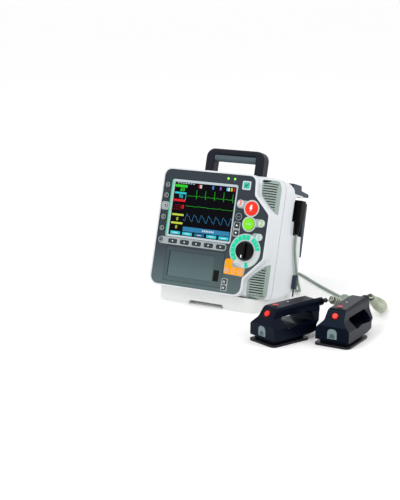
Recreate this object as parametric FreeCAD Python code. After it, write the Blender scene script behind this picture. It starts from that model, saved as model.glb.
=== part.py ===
"""Portable monitor defibrillator with two hand paddles, as an assembly of separate pieces.

The monitor leans back on a level base, so its pieces are modelled upright first and leaned
last.  Upright, +X is to the operator's right, +Y goes from the front face into the case and
+Z goes up the face.  The row frame is +X right, -Y towards the operator, +Z up, with the
origin on the table at the middle of the base.  Millimetres.
"""
import FreeCAD, Part
import math
import os

V = FreeCAD.Vector
os.makedirs("parts", exist_ok=True)

# ---- driving dimensions: the case -------------------------------------------------------
TILT = 16.0                # how far the monitor leans back on its base, degrees
BODY_W = 237.0             # width over the front rim
BODY_TOP = 256.5           # top of the case, up the face from the table
BODY_BOTTOM = 33.0         # lower edge of the front rim, up the face
SIDE_INSET = 1.5           # the case sides stand this far inside the rim
FRONT_D = 50.0             # depth of the front shell, where the seam runs
HUMP_D = 88.0              # depth of the full-height part of the case
REAR_D = 128.0             # depth of the case at the rear deck
REAR_FOOT_D = 160.0        # and at its foot: the back is nearly upright when it leans
DECK_DROP = 20.5           # the rear deck lies this far below the top
WALL = 3.0                 # shell wall
SEAM_GAP = 0.3             # gap at seams between shells
RIM = 4.5                  # white rim round the front panel
RIM_PROUD = 8.0            # how far the rim stands in front of the case corners
CORNER_R = 22.0            # rounding of the case corners, seen from the front
SIDE_R = 20.0              # rounding of the front edge beside the grilles
FIT = 0.35                 # clearance round a piece set in a hole

# ---- driving dimensions: the base -------------------------------------------------------
BASE_W = 208.0             # width of the base
BASE_D = 154.0             # depth of the base on the table
BASE_TOP = 16.0            # height of the level joint between base and rear shell
TOE = 22.0                 # the base starts this far behind the face's line on the table
ARCH_W = 74.0              # arch in the front of the base
ARCH_H = 8.0
ARCH_D = 32.0
FOOT_R = 9.0               # grip pads inlaid in the base
FOOT_T = 2.0

# ---- driving dimensions: the front ------------------------------------------------------
PANEL_T = 3.0              # front panel thickness
PANEL_SET = 0.8            # the panel sits this far back from the rim's front
SCREEN_W = 132.0           # visible screen, 4:3
SCREEN_H = 100.0
SCREEN_X = -24.5           # middle of the screen
SCREEN_Z = 180.2
BEZEL_LEFT = 6.5           # frame round the screen: left, right, top and bottom
BEZEL_RIGHT = 2.4
BEZEL_TOP = 4.6
BEZEL_FOOT = 4.2
KEY_PROUD = 1.4            # key caps stand this far in front of the panel
KEY_FLANGE = 1.2           # retaining flange round each key, behind the panel
SHOCK_R = 12.5             # large round keys
CHARGE_R = 11.0
KNOB_R = 18.0
KNOB_H = 12.0
PRINTER_W = 124.0          # printer module's front
PRINTER_H = 64.0
PRINTER_DEPTH = 58.0
DOOR_W = 97.0
DOOR_H = 46.6
ROLL_R = 18.0              # paper roll
HANDLE_W = 124.0           # carrying handle
HANDLE_TOP = 305.0         # its top, up the face from the table
HANDLE_LEG = 18.0          # width of its legs
HANDLE_BAR = 11.0          # height of its top bar
GRIP_BAR = 12.0            # height of the soft grip under the bar
HANDLE_DEPTH = 23.0
HANDLE_AT = 52.0           # front of the handle, behind the face

# ---- driving dimensions: the paddles ----------------------------------------------------
PLATE_L = 84.0             # adult electrode plate
PLATE_W = 64.0
PLATE_T = 3.6
PADDLE_H = 62.0            # height over the hand grip
GRIP_W = 31.0              # width of the hand grip
GRIP_T = 17.0              # thickness of the hand grip
GLAND_R = 7.0              # bend relief at the back of the grip
GLAND_L = 20.0
TAIL = 34.0                # the grip reaches this far past the plate
LEFT_AT = (208.0, -187.4, -21.4)      # middle of the plate, and the turn from straight ahead
RIGHT_AT = (301.0, -142.0, -0.3)

# ---- driving dimensions: the cords ------------------------------------------------------
TRUNK_D = 5.0
COIL_D = 15.0              # outer diameter of the curly cords

# ---- derived ----------------------------------------------------------------------------
ORIGIN_BACK = TOE + BASE_D / 2        # from the face's line on the table to the origin
BODY_HALF = BODY_W / 2 - SIDE_INSET
PANEL_BACK = PANEL_SET + PANEL_T
DECK = BODY_TOP - DECK_DROP


def save(name, shape):
    """Write one node."""
    shape.exportStep("parts/" + name + ".step")


def lean(shape):
    """Lean an upright piece back and set it in the row frame."""
    done = shape.copy()
    done.rotate(V(0, 0, 0), V(1, 0, 0), -TILT)
    done.translate(V(0, -ORIGIN_BACK, 0))
    return done


def box(x0, x1, y0, y1, z0, z1):
    return Part.makeBox(x1 - x0, y1 - y0, z1 - z0, V(x0, y0, z0))


def rounded_wire(points, place):
    """Closed wire through (a, b, radius) points, each corner rounded to its radius."""
    edges = []
    ends = []
    count = len(points)
    for i, (a, b, radius) in enumerate(points):
        here = V(a, b, 0)
        back = (V(*points[i - 1][:2], 0) - here).normalize()
        on = (V(*points[(i + 1) % count][:2], 0) - here).normalize()
        if radius == 0:
            ends.append((here, None, here))
            continue
        half = back.getAngle(on) / 2
        run = radius / math.tan(half)
        middle = (back + on).normalize()
        centre = here + middle * (radius / math.sin(half))
        ends.append((here + back * run, centre - middle * radius, here + on * run))
    for i, (start, via, end) in enumerate(ends):
        if via is not None:
            edges.append(Part.Arc(place(start), place(via), place(end)).toShape())
        ahead = ends[(i + 1) % count][0]
        if (ahead - end).Length > 1e-6:
            edges.append(Part.LineSegment(place(end), place(ahead)).toShape())
    return Part.Wire(edges)


def front_prism(points, y0, y1):
    """Outline drawn on the face, carried from depth y0 to y1."""
    wire = rounded_wire(points, lambda p: V(p.x, y0, p.y))
    return Part.Face(wire).extrude(V(0, y1 - y0, 0))


def side_prism(points, x0, x1):
    """Outline drawn in depth and height, carried from x0 to x1."""
    wire = rounded_wire(points, lambda p: V(x0, p.x, p.y))
    return Part.Face(wire).extrude(V(x1 - x0, 0, 0))


def slab(cx, cz, w, h, r, y0, y1):
    """Rounded rectangle on the face."""
    x0, x1, z0, z1 = cx - w / 2, cx + w / 2, cz - h / 2, cz + h / 2
    return front_prism([(x0, z0, r), (x1, z0, r), (x1, z1, r), (x0, z1, r)], y0, y1)


def disc(cx, cz, r, y0, y1):
    """Round piece on the face."""
    return Part.makeCylinder(r, y1 - y0, V(cx, y0, cz), V(0, 1, 0))


def along_y(shape, y):
    """Edges of a shape that lie in the plane at depth y."""
    found = []
    for edge in shape.Edges:
        b = edge.BoundBox
        if abs(b.YMin - y) < 1e-4 and abs(b.YMax - y) < 1e-4:
            found.append(edge)
    return found


def soften(shape, y, radius):
    """Round the edges that lie at depth y."""
    return shape.makeFillet(radius, along_y(shape, y))


def level_above(height):
    """Everything above a level height, given in the upright frame."""
    big = box(-400, 400, -400, 400, height, 900)
    big.translate(V(0, ORIGIN_BACK, 0))
    big.rotate(V(0, 0, 0), V(1, 0, 0), TILT)
    return big


# ---- outlines ---------------------------------------------------------------------------
PANEL_L, PANEL_R, PANEL_MID = -114.5, 113.0, 77.0
PANEL_LOW = BODY_BOTTOM + RIM - 1.0
PANEL_HIGH = BODY_TOP - RIM + 1.0


def panel_outline(grow=0.0, up=None, low=None):
    """The front panel: a full-height plate whose right side steps out round the controls."""
    top = PANEL_HIGH + grow if up is None else up
    foot = PANEL_LOW - grow if low is None else low
    g = grow
    r = max(g, 0)
    return [(PANEL_L - g, foot, 15 + r), (PANEL_MID + g, foot, 14 + r),
            (PANEL_MID + g, 68 - g * 0.4, 8), (PANEL_R + g, 106 - g * 0.4, 10 + r),
            (PANEL_R + g, 186 + g * 0.4, 10 + r), (PANEL_MID + 3 + g, 218.5 + g * 0.4, 8),
            (PANEL_MID + g, top, 12 + r), (PANEL_L - g, top, 13 + r)]


# ---- controls: name, middle, size; a round key has one size, a square one two ------------
ROUND_KEYS = {
    "shock_key": (77.3, 194.6, SHOCK_R, 3.0),
    "charge_key": (76.5, 166.1, CHARGE_R, 3.0),
    "lead_select_key": (54.1, 177.5, 8.0, 1.0),
}
for number, height in enumerate((222.9, 202.9, 183.0, 162.0, 140.6, 119.4)):
    ROUND_KEYS["side_key_%d" % (number + 1)] = (-105.2, height, 5.2, 1.0)
for number, place in enumerate((44.4, 58.6, 72.8)):
    ROUND_KEYS["pacer_key_%d" % (number + 1)] = (place, 78.0, 5.0, 1.0)
SQUARE_KEYS = {
    "energy_up_key": (52.4, 161.4, 10.0, 10.4),
    "energy_down_key": (52.4, 147.6, 10.0, 9.0),
    "print_key": (42.6, 57.0, 9.0, 8.4),
    "feed_key": (42.6, 45.6, 9.0, 8.4),
}
for number in range(5):
    SQUARE_KEYS["soft_key_%d" % (number + 1)] = (-78.2 + 25.8 * number, 118.4, 18.6, 7.6)
KNOB_AT = (75.8, 117.1)
SHAFT_R = 3.0
PRINTER_X = -26.2
PRINTER_Z = 76.6
DOOR_X = -32.6
DOOR_Z = 76.8
LATCH = (23.4, 65.2, 11.0, 20.0)


def key_solid(plan, proud, depth, grow):
    """A key cap with its retaining flange behind the panel; plan(grow, y0, y1) draws it."""
    cap = plan(0, PANEL_SET - proud, PANEL_BACK + 0.5)
    cap = soften(cap, PANEL_SET - proud, min(proud * 0.45, 0.9))
    flange = plan(grow, PANEL_BACK + 0.25, PANEL_BACK + 1.5)
    stem = plan(-depth, PANEL_BACK + 1.5, PANEL_BACK + 4.0)
    return cap.fuse([flange, stem]).removeSplitter()


def round_plan(cx, cz, r):
    return lambda grow, y0, y1: disc(cx, cz, r + grow, y0, y1)


def square_plan(cx, cz, w, h):
    return lambda grow, y0, y1: slab(cx, cz, w + 2 * grow, h + 2 * grow, 2.2 + grow * 0.5, y0, y1)


def make_keys():
    holes = []
    for name, (cx, cz, r, proud) in ROUND_KEYS.items():
        plan = round_plan(cx, cz, r)
        save(name, lean(key_solid(plan, proud if proud > 2 else KEY_PROUD, r * 0.4, KEY_FLANGE)))
        holes.append(plan(FIT, -5, PANEL_BACK + 5))
    for name, (cx, cz, w, h) in SQUARE_KEYS.items():
        plan = square_plan(cx, cz, w, h)
        save(name, lean(key_solid(plan, KEY_PROUD, h * 0.2, KEY_FLANGE)))
        holes.append(plan(FIT, -5, PANEL_BACK + 5))
    return holes


# ---- light plates under the controls ------------------------------------------------------
def control_plates(holes):
    """Thin printed plates on the panel: dial, key surrounds, soft-key strip."""
    y0, y1 = PANEL_SET - 0.6, PANEL_SET
    dial = disc(KNOB_AT[0], KNOB_AT[1], 31.5, y0, y1)
    pacer = front_prism([(38, 71.5, 4), (79.5, 70, 4), (82, 97, 3), (38, 97, 4)], y0, y1)
    shock = disc(77.3, 194.6, SHOCK_R + 3.2, y0, y1)
    three = slab(61, 200.4, 30, 14.5, 7.2, y0, y1)
    charge = disc(76.5, 166.1, CHARGE_R + 3.2, y0, y1)
    two = slab(93, 169.6, 31, 14.5, 7.2, y0, y1)
    one = slab(96.5, 144.6, 22, 13, 6.4, y0, y1)
    arrows = slab(52.4, 154.3, 13.6, 27.0, 3.0, y0, y1)
    upper = shock.fuse([three, charge, two]).removeSplitter()
    lower = dial.fuse([one, pacer]).removeSplitter()
    strip = slab(-36.6, 118.6, 147.0, 13.6, 6.6, y0, y1)
    paper = slab(43.0, 51.3, 13.4, 23.4, 3.0, y0, y1)
    surround = slab(-105.2, 183.0, 15.6, 15.6, 3.4, y0, y1)
    groups = [upper, lower, arrows, strip, paper, surround]
    shaft = disc(KNOB_AT[0], KNOB_AT[1], SHAFT_R + 1.0, -5, 10)
    groups[0] = groups[0].cut(groups[2])
    groups[1] = groups[1].cut(groups[2])
    groups[1] = groups[1].cut(upper)
    groups = [g.cut(holes + [shaft]) for g in groups]
    return Part.makeCompound([s for g in groups for s in g.Solids])


def front_panel(holes):
    body = front_prism(panel_outline(), PANEL_SET, PANEL_BACK)
    body = soften(body, PANEL_SET, 0.6)
    screen = bezel_block(FIT, -5, 20)
    printer = slab(PRINTER_X, PRINTER_Z, PRINTER_W + 2 * FIT, PRINTER_H + 2 * FIT, 3, -5, 20)
    shaft = disc(KNOB_AT[0], KNOB_AT[1], SHAFT_R + 1.0, -5, 20)
    lenses = [disc(x, z, r + 0.2, -5, 20) for x, z, r in LENSES]
    window = slab(*STATUS, 2.2, -5, 20)
    return body.cut(holes + [screen, printer, shaft, window] + lenses)


LENSES = [(21.3, 245.0, 1.8), (35.1, 245.0, 1.8)]
STATUS = (60.8, 235.4, 16.8, 15.4)


def indicator_lenses():
    lights = [disc(x, z, r, PANEL_SET - 0.5, PANEL_BACK + 3) for x, z, r in LENSES]
    cx, cz, w, h = STATUS
    window = slab(cx, cz, w - 0.4, h - 0.4, 2.0, PANEL_SET - 0.3, PANEL_BACK)
    return Part.makeCompound(lights + [window])


def bezel_block(gap, y0, y1):
    """Outline of the screen's frame, widened by a gap."""
    x0 = SCREEN_X - SCREEN_W / 2 - BEZEL_LEFT - gap
    x1 = SCREEN_X + SCREEN_W / 2 + BEZEL_RIGHT + gap
    z0 = SCREEN_Z - SCREEN_H / 2 - BEZEL_FOOT - gap
    z1 = SCREEN_Z + SCREEN_H / 2 + BEZEL_TOP + gap
    r = 4 + gap
    return front_prism([(x0, z0, r), (x1, z0, r), (x1, z1, r), (x0, z1, r)], y0, y1)


def screen_bezel():
    outer = bezel_block(0, PANEL_SET - 1.0, PANEL_BACK + 2)
    outer = soften(outer, PANEL_SET - 1.0, 0.9)
    window = slab(SCREEN_X, SCREEN_Z, SCREEN_W, SCREEN_H, 1.5, -5, 20)
    seat = slab(SCREEN_X, SCREEN_Z, SCREEN_W + 2.4, SCREEN_H + 2.4, 2, PANEL_SET + 1.0, 20)
    return outer.cut([window, seat])


def display_module():
    """Flat display with its metal can, behind the bezel."""
    pane = slab(SCREEN_X, SCREEN_Z, SCREEN_W + 1.8, SCREEN_H + 1.8, 1.7,
                PANEL_SET + 2.8, PANEL_BACK + 3)
    can = slab(SCREEN_X, SCREEN_Z, SCREEN_W + 3, SCREEN_H + 6, 3, PANEL_BACK + 2.4, PANEL_BACK + 10)
    return pane.fuse(can).removeSplitter()


def screen_glass():
    return slab(SCREEN_X, SCREEN_Z, SCREEN_W + 1.8, SCREEN_H + 1.8, 1.7,
                PANEL_SET + 1.1, PANEL_SET + 2.7)


# ---- shells -----------------------------------------------------------------------------
def case_block(y0, y1, inset, side_r):
    """The case's outer form between two depths, shrunk by inset."""
    x = BODY_HALF - inset
    block = front_prism([(-x, BODY_BOTTOM + inset, 12), (x, BODY_BOTTOM + inset, 12),
                         (x, BODY_TOP - inset, CORNER_R - inset),
                         (-x, BODY_TOP - inset, CORNER_R - inset)], y0, y1)
    if side_r:
        block = soften(block, y0, side_r)
    return block


GRILLE_UP = [(86, 250, 3), (111, 250, 9), (130, 240, 2), (130, 187, 2), (116, 191, 2), (90, 221, 5)]
GRILLE_LOW = [(85, 34.5, 4), (108, 34.5, 8), (130, 42, 2), (130, 99, 2), (117, 98, 2), (86, 66, 5)]


def grow_outline(points, by):
    """Move each corner of an outline away from its middle."""
    cx = sum(p[0] for p in points) / len(points)
    cz = sum(p[1] for p in points) / len(points)
    moved = []
    for x, z, r in points:
        d = math.hypot(x - cx, z - cz)
        moved.append((x + (x - cx) / d * by, z + (z - cz) / d * by, r))
    return moved


def grille_band(points, grow, outer, inner):
    """A band of the case's corner surface inside an outline."""
    prism = front_prism(grow_outline(points, grow), -2, 31)
    out = case_block(RIM_PROUD + outer, 60, outer, SIDE_R)
    ins = case_block(RIM_PROUD + inner, 60, inner, SIDE_R - inner)
    return prism.common(out).cut(ins)


def side_grilles():
    """Two louvred corner pieces, above and below the controls."""
    rim = front_prism(panel_outline(RIM + 0.3), -5, 40)
    pieces = []
    for points in (GRILLE_UP, GRILLE_LOW):
        band = grille_band(points, 0, 0.4, 2.6).cut(rim)
        low = min(p[1] for p in points)
        high = max(p[1] for p in points)
        slots = []
        z = low + 5.0
        while z < high - 3.0:
            slots.append(box(90, 114.0, -5, 26, z, z + 2.0))
            z += 4.6
        pieces.append(band.cut(slots))
    return Part.makeCompound([s for p in pieces for s in p.Solids])


def front_shell():
    box_part = case_block(RIM_PROUD, FRONT_D, 0, SIDE_R)
    rim = front_prism(panel_outline(RIM, BODY_TOP, BODY_BOTTOM), 0, RIM_PROUD + 14)
    rim = soften(rim, 0, 2.2)
    body = box_part.fuse(rim)
    seat = front_prism(panel_outline(FIT), -5, PANEL_BACK + 0.1)
    through = front_prism(panel_outline(-2.2), -5, RIM_PROUD + WALL + 10)
    inside = case_block(RIM_PROUD + WALL, FRONT_D + 10, WALL, SIDE_R - WALL)
    tunnel = front_prism(panel_outline(RIM - WALL), PANEL_BACK + WALL, RIM_PROUD + WALL + 14)
    grilles = [grille_band(p, 0.4, -1, 2.7) for p in (GRILLE_UP, GRILLE_LOW)]
    vents = [front_prism(grow_outline(p, -9), -2, 31) for p in (GRILLE_UP, GRILLE_LOW)]
    keep = front_prism(panel_outline(RIM + 0.01), -5, RIM_PROUD + 15)
    grilles = [g.cut(keep) for g in grilles]
    vents = [v.cut(keep) for v in vents]
    return body.cut([seat, through, tunnel, inside] + grilles + vents)


def back_at(z):
    """Depth of the case's back at a height up the face."""
    return REAR_D + (REAR_FOOT_D - REAR_D) * (DECK - z) / (DECK - BODY_BOTTOM)


def rear_profile(inset, y0):
    """Side outline of the rear shell."""
    low = BODY_BOTTOM + inset
    i = inset
    return [(y0, low, 0), (back_at(low) - i, low, 0), (REAR_D - i, DECK - i, 8 - i),
            (HUMP_D - i, DECK - i, 3 + i), (HUMP_D - i, BODY_TOP - i, 17 - i), (y0, BODY_TOP - i, 0)]


POCKET = (100.0, 91.0, 160.0, 232.5)       # plug pocket: inner wall, front, foot, top


def rear_shell():
    x = BODY_HALF
    y0 = FRONT_D + SEAM_GAP
    outer = side_prism(rear_profile(0, y0), -x, x)
    outer = outer.common(case_block(y0, REAR_FOOT_D + 5, 0, 0))
    outer = outer.common(level_above(BASE_TOP))
    inner = side_prism(rear_profile(WALL, y0 - 5), -x + WALL, x - WALL)
    inner = inner.common(case_block(y0 - 5, REAR_FOOT_D + 5, WALL, 0))
    inner = inner.common(level_above(BASE_TOP + WALL))
    wall_x, front, low, top = POCKET
    pocket = side_prism([(front, low, 6), (REAR_FOOT_D, low, 0), (REAR_FOOT_D, top, 0),
                         (front, top, 16)], wall_x, x + 20)
    liner = side_prism([(front - WALL, low - WALL, 8), (REAR_FOOT_D, low - WALL, 0),
                        (REAR_FOOT_D, top + WALL - 0.5, 0), (front - WALL, top + WALL - 0.5, 18)],
                       wall_x - WALL, x - 1)
    liner = liner.common(outer)
    shell = outer.cut(inner).fuse(liner).cut(pocket)
    legs = [box(s * HANDLE_MID - HANDLE_LEG / 2 - 0.2, s * HANDLE_MID + HANDLE_LEG / 2 + 0.2,
                HANDLE_AT - 0.2, HANDLE_AT + HANDLE_DEPTH + 0.2, BODY_TOP - 12, BODY_TOP + 5)
            for s in (-1, 1)]
    socket = Part.makeCylinder(8.2, 20, V(wall_x - 10, PLUG_Y, PLUG_Z), V(1, 0, 0))
    return shell.cut(legs + [socket]).removeSplitter()


HANDLE_MID = HANDLE_W / 2 - HANDLE_LEG / 2
PLUG_Y = 110.0
PLUG_Z = 206.0
NECK_L = 24.0
CORD_X = 121.0             # the cord leaves the plug just clear of the case side


def carry_handle():
    """A fixed bail: two legs let into the top of the case and a grip bar."""
    h = HANDLE_W / 2
    foot = BODY_TOP - 11
    inner = h - HANDLE_LEG
    outline = [(-h, foot, 0), (-inner, foot, 0), (-inner, HANDLE_TOP - HANDLE_BAR, 1),
               (inner, HANDLE_TOP - HANDLE_BAR, 1), (inner, foot, 0), (h, foot, 0),
               (h, HANDLE_TOP, 17), (-h, HANDLE_TOP, 17)]
    body = front_prism(outline, HANDLE_AT, HANDLE_AT + HANDLE_DEPTH)
    body = soften(body, HANDLE_AT, 3.0)
    return soften(body, HANDLE_AT + HANDLE_DEPTH, 3.0)


def handle_grip():
    """Soft rounded sleeve under the handle's bar, held between its legs."""
    half = HANDLE_W / 2 - HANDLE_LEG - SEAM_GAP
    top = HANDLE_TOP - HANDLE_BAR - SEAM_GAP
    back = HANDLE_AT + HANDLE_DEPTH - 1.5
    return side_prism([(HANDLE_AT + 1.5, top - GRIP_BAR, 5.6), (back, top - GRIP_BAR, 5.6),
                       (back, top, 2.4), (HANDLE_AT + 1.5, top, 2.4)], -half, half)


def base_tray():
    """Level tray that carries the leaning case, with an arch between its front feet."""
    x = BASE_W / 2
    y0, y1 = -BASE_D / 2, BASE_D / 2
    wire = rounded_wire([(-x, y0, 14), (x, y0, 14), (x, y1, 14), (-x, y1, 14)],
                        lambda p: V(p.x, p.y, 0))
    block = Part.Face(wire).extrude(V(0, 0, 34))
    above = box(-x - 20, x + 20, y0 - 20, y1 + 20, BASE_TOP - SEAM_GAP, 60)
    case = above.common(lean(box(-x - 20, x + 20, -50, 300, BODY_BOTTOM - SEAM_GAP, 400)))
    tub_wire = rounded_wire([(-x + WALL, y0 + ARCH_D + WALL, 8), (x - WALL, y0 + ARCH_D + WALL, 8),
                             (x - WALL, y1 - WALL, 11), (-x + WALL, y1 - WALL, 11)],
                            lambda p: V(p.x, p.y, WALL))
    tub = Part.Face(tub_wire).extrude(V(0, 0, 60))
    arch = box(-ARCH_W / 2, ARCH_W / 2, y0 - 5, y0 + ARCH_D, -5, ARCH_H)
    arch = arch.makeFillet(5, [e for e in arch.Edges if abs(e.BoundBox.ZMin - ARCH_H) < 1e-6
                               and abs(e.BoundBox.ZMax - ARCH_H) < 1e-6
                               and e.BoundBox.YLength > 1])
    pads = [Part.makeCylinder(FOOT_R + 0.1, FOOT_T + 0.1, V(px, py, 0)) for px, py in FEET]
    return block.cut([case, tub, arch] + pads)


FEET = [(sx * (BASE_W / 2 - 20), sy * (BASE_D / 2 - 16)) for sx in (-1, 1) for sy in (-1, 1)]


def rubber_feet():
    return Part.makeCompound([Part.makeCylinder(FOOT_R, FOOT_T, V(px, py, 0)) for px, py in FEET])


# ---- rear cradle, hook, plug socket --------------------------------------------------------
CRADLE_HALF = 113.0
CRADLE_T = 6.0
SLOT = 12.0                # gap for a stored electrode plate
FLARE = 10.0               # the holder's plate leans out this much more at its top
CAP_TOP = BODY_TOP - 1.5
LEDGE_END = 158.0
PLATE_FOOT = 122.0


def rear_cradle():
    """Paddle holder on the back: a cap on the deck with a ledge, and a plate on three ribs."""
    y1 = HUMP_D + SEAM_GAP
    cap = side_prism([(y1, DECK + SEAM_GAP, 4), (LEDGE_END, DECK + SEAM_GAP, 0),
                      (LEDGE_END, DECK + 7, 3), (124.0, DECK + 10, 3), (122.0, CAP_TOP, 4),
                      (y1, CAP_TOP, 0)], -CRADLE_HALF, CRADLE_HALF)
    hollow = side_prism([(y1 + 5, DECK - 10, 0), (116, DECK - 10, 0), (116, CAP_TOP - 5, 2),
                         (y1 + 5, CAP_TOP - 5, 2)], -CRADLE_HALF + 5, CRADLE_HALF - 5)
    back = REAR_D + SEAM_GAP
    high = DECK - 11
    foot = back_at(PLATE_FOOT) + SLOT
    lip = back_at(high) + SLOT + FLARE

    def front_of(s):
        return foot + (lip - foot) * (s - PLATE_FOOT) / (high - PLATE_FOOT)

    plate = side_prism([(foot, PLATE_FOOT, 1.5), (foot + 4, PLATE_FOOT, 1.5),
                        (lip + CRADLE_T, high, 2), (lip, high, 2)], -CRADLE_HALF, CRADLE_HALF)
    cheeks = [side_prism([(foot, PLATE_FOOT, 0), (foot + 3, PLATE_FOOT, 0), (lip + 3, high, 0),
                          (lip - FLARE, high, 3)], x, x + 4)
              for x in (-CRADLE_HALF, CRADLE_HALF - 4)]
    ribs = []
    for x in (-CRADLE_HALF + 18, 0, CRADLE_HALF - 24):
        ribs.append(side_prism([(back_at(134) + SEAM_GAP, 134, 0), (front_of(134) + 2, 134, 0),
                                (front_of(214) + 2, 214, 0), (back_at(214) + SEAM_GAP, 214, 0)],
                               x - 3, x + 3))
    lug_y = back_at(high - 12) + SEAM_GAP
    lugs = [box(x - 6, x + 6, lug_y, back + SLOT + FLARE + 3, high - 12, DECK + 4)
            for x in (-60, 60)]
    body = cap.cut(hollow).fuse(ribs + lugs + cheeks + [plate])
    return body.removeSplitter()


HOOK_Z = 74.0
HOOK_Y = 127.0


def cable_hook():
    """Cable guide low on the right side: a block with an open channel and a tail strip."""
    x0 = BODY_HALF + 0.2
    y = HOOK_Y
    block = side_prism([(y, HOOK_Z - 14, 3), (y + 17, HOOK_Z - 14, 3), (y + 17, HOOK_Z + 13, 4),
                        (y, HOOK_Z + 13, 4)], x0, x0 + 9)
    channel = box(x0 + 1.6, x0 + 20, y + 6.5, y + 30, HOOK_Z - 30, HOOK_Z + 30)
    tail = box(x0, x0 + 1.6, y + 9, y + 13, HOOK_Z - 28, HOOK_Z - 12)
    return block.cut(channel).fuse(tail).removeSplitter()


def paddle_socket():
    """High-voltage socket in the plug pocket: a collar and a flange inside the case."""
    wall_x = POCKET[0]
    ring = Part.makeCylinder(8.0, 9, V(wall_x - 7, PLUG_Y, PLUG_Z), V(1, 0, 0))
    flange = Part.makeCylinder(12.0, 2.5, V(wall_x - WALL - 2.7, PLUG_Y, PLUG_Z), V(1, 0, 0))
    bore = Part.makeCylinder(5.2, 8, V(wall_x - 3, PLUG_Y, PLUG_Z), V(1, 0, 0))
    return ring.fuse(flange).cut(bore).removeSplitter()


def paddle_plug():
    """Right-angle plug with its bend relief, cord leaving downwards."""
    wall_x = POCKET[0]
    x0 = wall_x + 2.4
    body = box(x0, x0 + 26, PLUG_Y - 11, PLUG_Y + 11, PLUG_Z - 20, PLUG_Z + 20)
    body = body.makeFillet(4, [e for e in body.Edges if e.BoundBox.ZLength > 30])
    neck = Part.makeCone(6.6, 4.0, NECK_L, V(CORD_X, PLUG_Y, PLUG_Z - 19.9), V(0, 0, -1))
    pin = Part.makeCylinder(5.0, 8.4, V(wall_x - 1.0, PLUG_Y, PLUG_Z), V(1, 0, 0))
    return body.fuse([neck, pin]).removeSplitter()


# ---- inside -----------------------------------------------------------------------------
def printer_module():
    """Recorder chassis: a tub with the door's recess in front and roll bosses inside."""
    x0, x1 = PRINTER_X - PRINTER_W / 2, PRINTER_X + PRINTER_W / 2
    z0, z1 = PRINTER_Z - PRINTER_H / 2, PRINTER_Z + PRINTER_H / 2
    body = slab(PRINTER_X, PRINTER_Z, PRINTER_W, PRINTER_H, 2.6, PANEL_SET - 0.2, PRINTER_DEPTH)
    recess = slab(DOOR_X, DOOR_Z, DOOR_W + 2 * FIT, DOOR_H + 2 * FIT, 1.5, -5, PANEL_SET + 4.0)
    bay = box(ROLL_X0 - 1.0, ROLL_X1 + 1.0, -5, ROLL_Y + ROLL_R + 1.5, DOOR_Z - 21.5, DOOR_Z + 21.5)
    latch = slab(LATCH[0], LATCH[1], LATCH[2] + 2 * FIT, LATCH[3] + 2 * FIT, 1.5 + FIT, -5, 14)
    barrel = Part.makeCylinder(2.5, DOOR_H + 2 * FIT, V(HINGE_X, HINGE_Y, DOOR_Z - DOOR_H / 2 - FIT))
    pins = [Part.makeCylinder(PIN_R + 0.08, 3.2, V(HINGE_X, HINGE_Y, z)) for z in
            (DOOR_Z + DOOR_H / 2 - 0.1, DOOR_Z - DOOR_H / 2 - 3.1)]
    bosses = [Part.makeCylinder(CORE_R - 0.1, 4.0, V(x, ROLL_Y, DOOR_Z), V(d, 0, 0))
              for x, d in ((ROLL_X0 - 1.0, 1), (ROLL_X1 + 1.0, -1))]
    return body.cut([recess, bay, latch, barrel] + pins).fuse(bosses)


ROLL_X0, ROLL_X1 = -74.0, 8.0
ROLL_Y = 28.0
CORE_R = 6.0
PIN_R = 1.2
HINGE_X = DOOR_X - DOOR_W / 2 + 2.2
HINGE_Y = PANEL_SET + 2.0


def paper_roll():
    roll = Part.makeCylinder(ROLL_R, ROLL_X1 - ROLL_X0, V(ROLL_X0, ROLL_Y, DOOR_Z), V(1, 0, 0))
    core = Part.makeCylinder(CORE_R, 200, V(ROLL_X0 - 50, ROLL_Y, DOOR_Z), V(1, 0, 0))
    return roll.cut(core)


def printer_door():
    """Door hinged on two pins at its left edge."""
    plate = slab(DOOR_X, DOOR_Z, DOOR_W, DOOR_H, 1.2, PANEL_SET, PANEL_SET + 3.0)
    relief = box(DOOR_X - DOOR_W / 2 - 1, HINGE_X, -5, 20, DOOR_Z - 40, DOOR_Z + 40)
    barrel = Part.makeCylinder(2.0, DOOR_H, V(HINGE_X, HINGE_Y, DOOR_Z - DOOR_H / 2))
    pins = [Part.makeCylinder(PIN_R, 2.4, V(HINGE_X, HINGE_Y, z)) for z in
            (DOOR_Z + DOOR_H / 2, DOOR_Z - DOOR_H / 2 - 2.4)]
    return plate.cut(relief).fuse([barrel] + pins).removeSplitter()


def door_latch():
    cx, cz, w, h = LATCH
    cap = slab(cx, cz, w, h, 1.5, PANEL_SET - 0.4, 11)
    return soften(cap, PANEL_SET - 0.4, 0.5)


def mode_knob():
    """Round knob with a raised finger bar and a shaft that goes through the panel."""
    kx, kz = KNOB_AT
    y = PANEL_SET - 1.2
    skirt = Part.makeCone(KNOB_R, KNOB_R - 2.0, 6.0, V(kx, y, kz), V(0, -1, 0))
    bar = slab(kx, kz, 9.0, 2 * KNOB_R - 6, 4.4, y - KNOB_H, y - 4.0)
    bar = soften(bar, y - KNOB_H, 1.4)
    shaft = disc(kx, kz, SHAFT_R, y - 2.0, PANEL_BACK + 8.0)
    return skirt.fuse([bar, shaft]).removeSplitter()


def mode_switch():
    """Rotary switch behind the panel, round the knob's shaft."""
    kx, kz = KNOB_AT
    body = box(kx - 13, kx + 13, PANEL_BACK + 0.4, PANEL_BACK + 12, kz - 13, kz + 13)
    return body.cut(disc(kx, kz, SHAFT_R + 0.06, -5, PANEL_BACK + 9))


def speaker():
    """Loudspeaker behind the lower grille."""
    rim = disc(92, 62, 15, 24, 28)
    cone = Part.makeCone(13, 7, 10, V(92, 28, 62), V(0, 1, 0))
    magnet = disc(92, 62, 9, 38, 45)
    return rim.fuse([cone, magnet]).removeSplitter()


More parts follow.
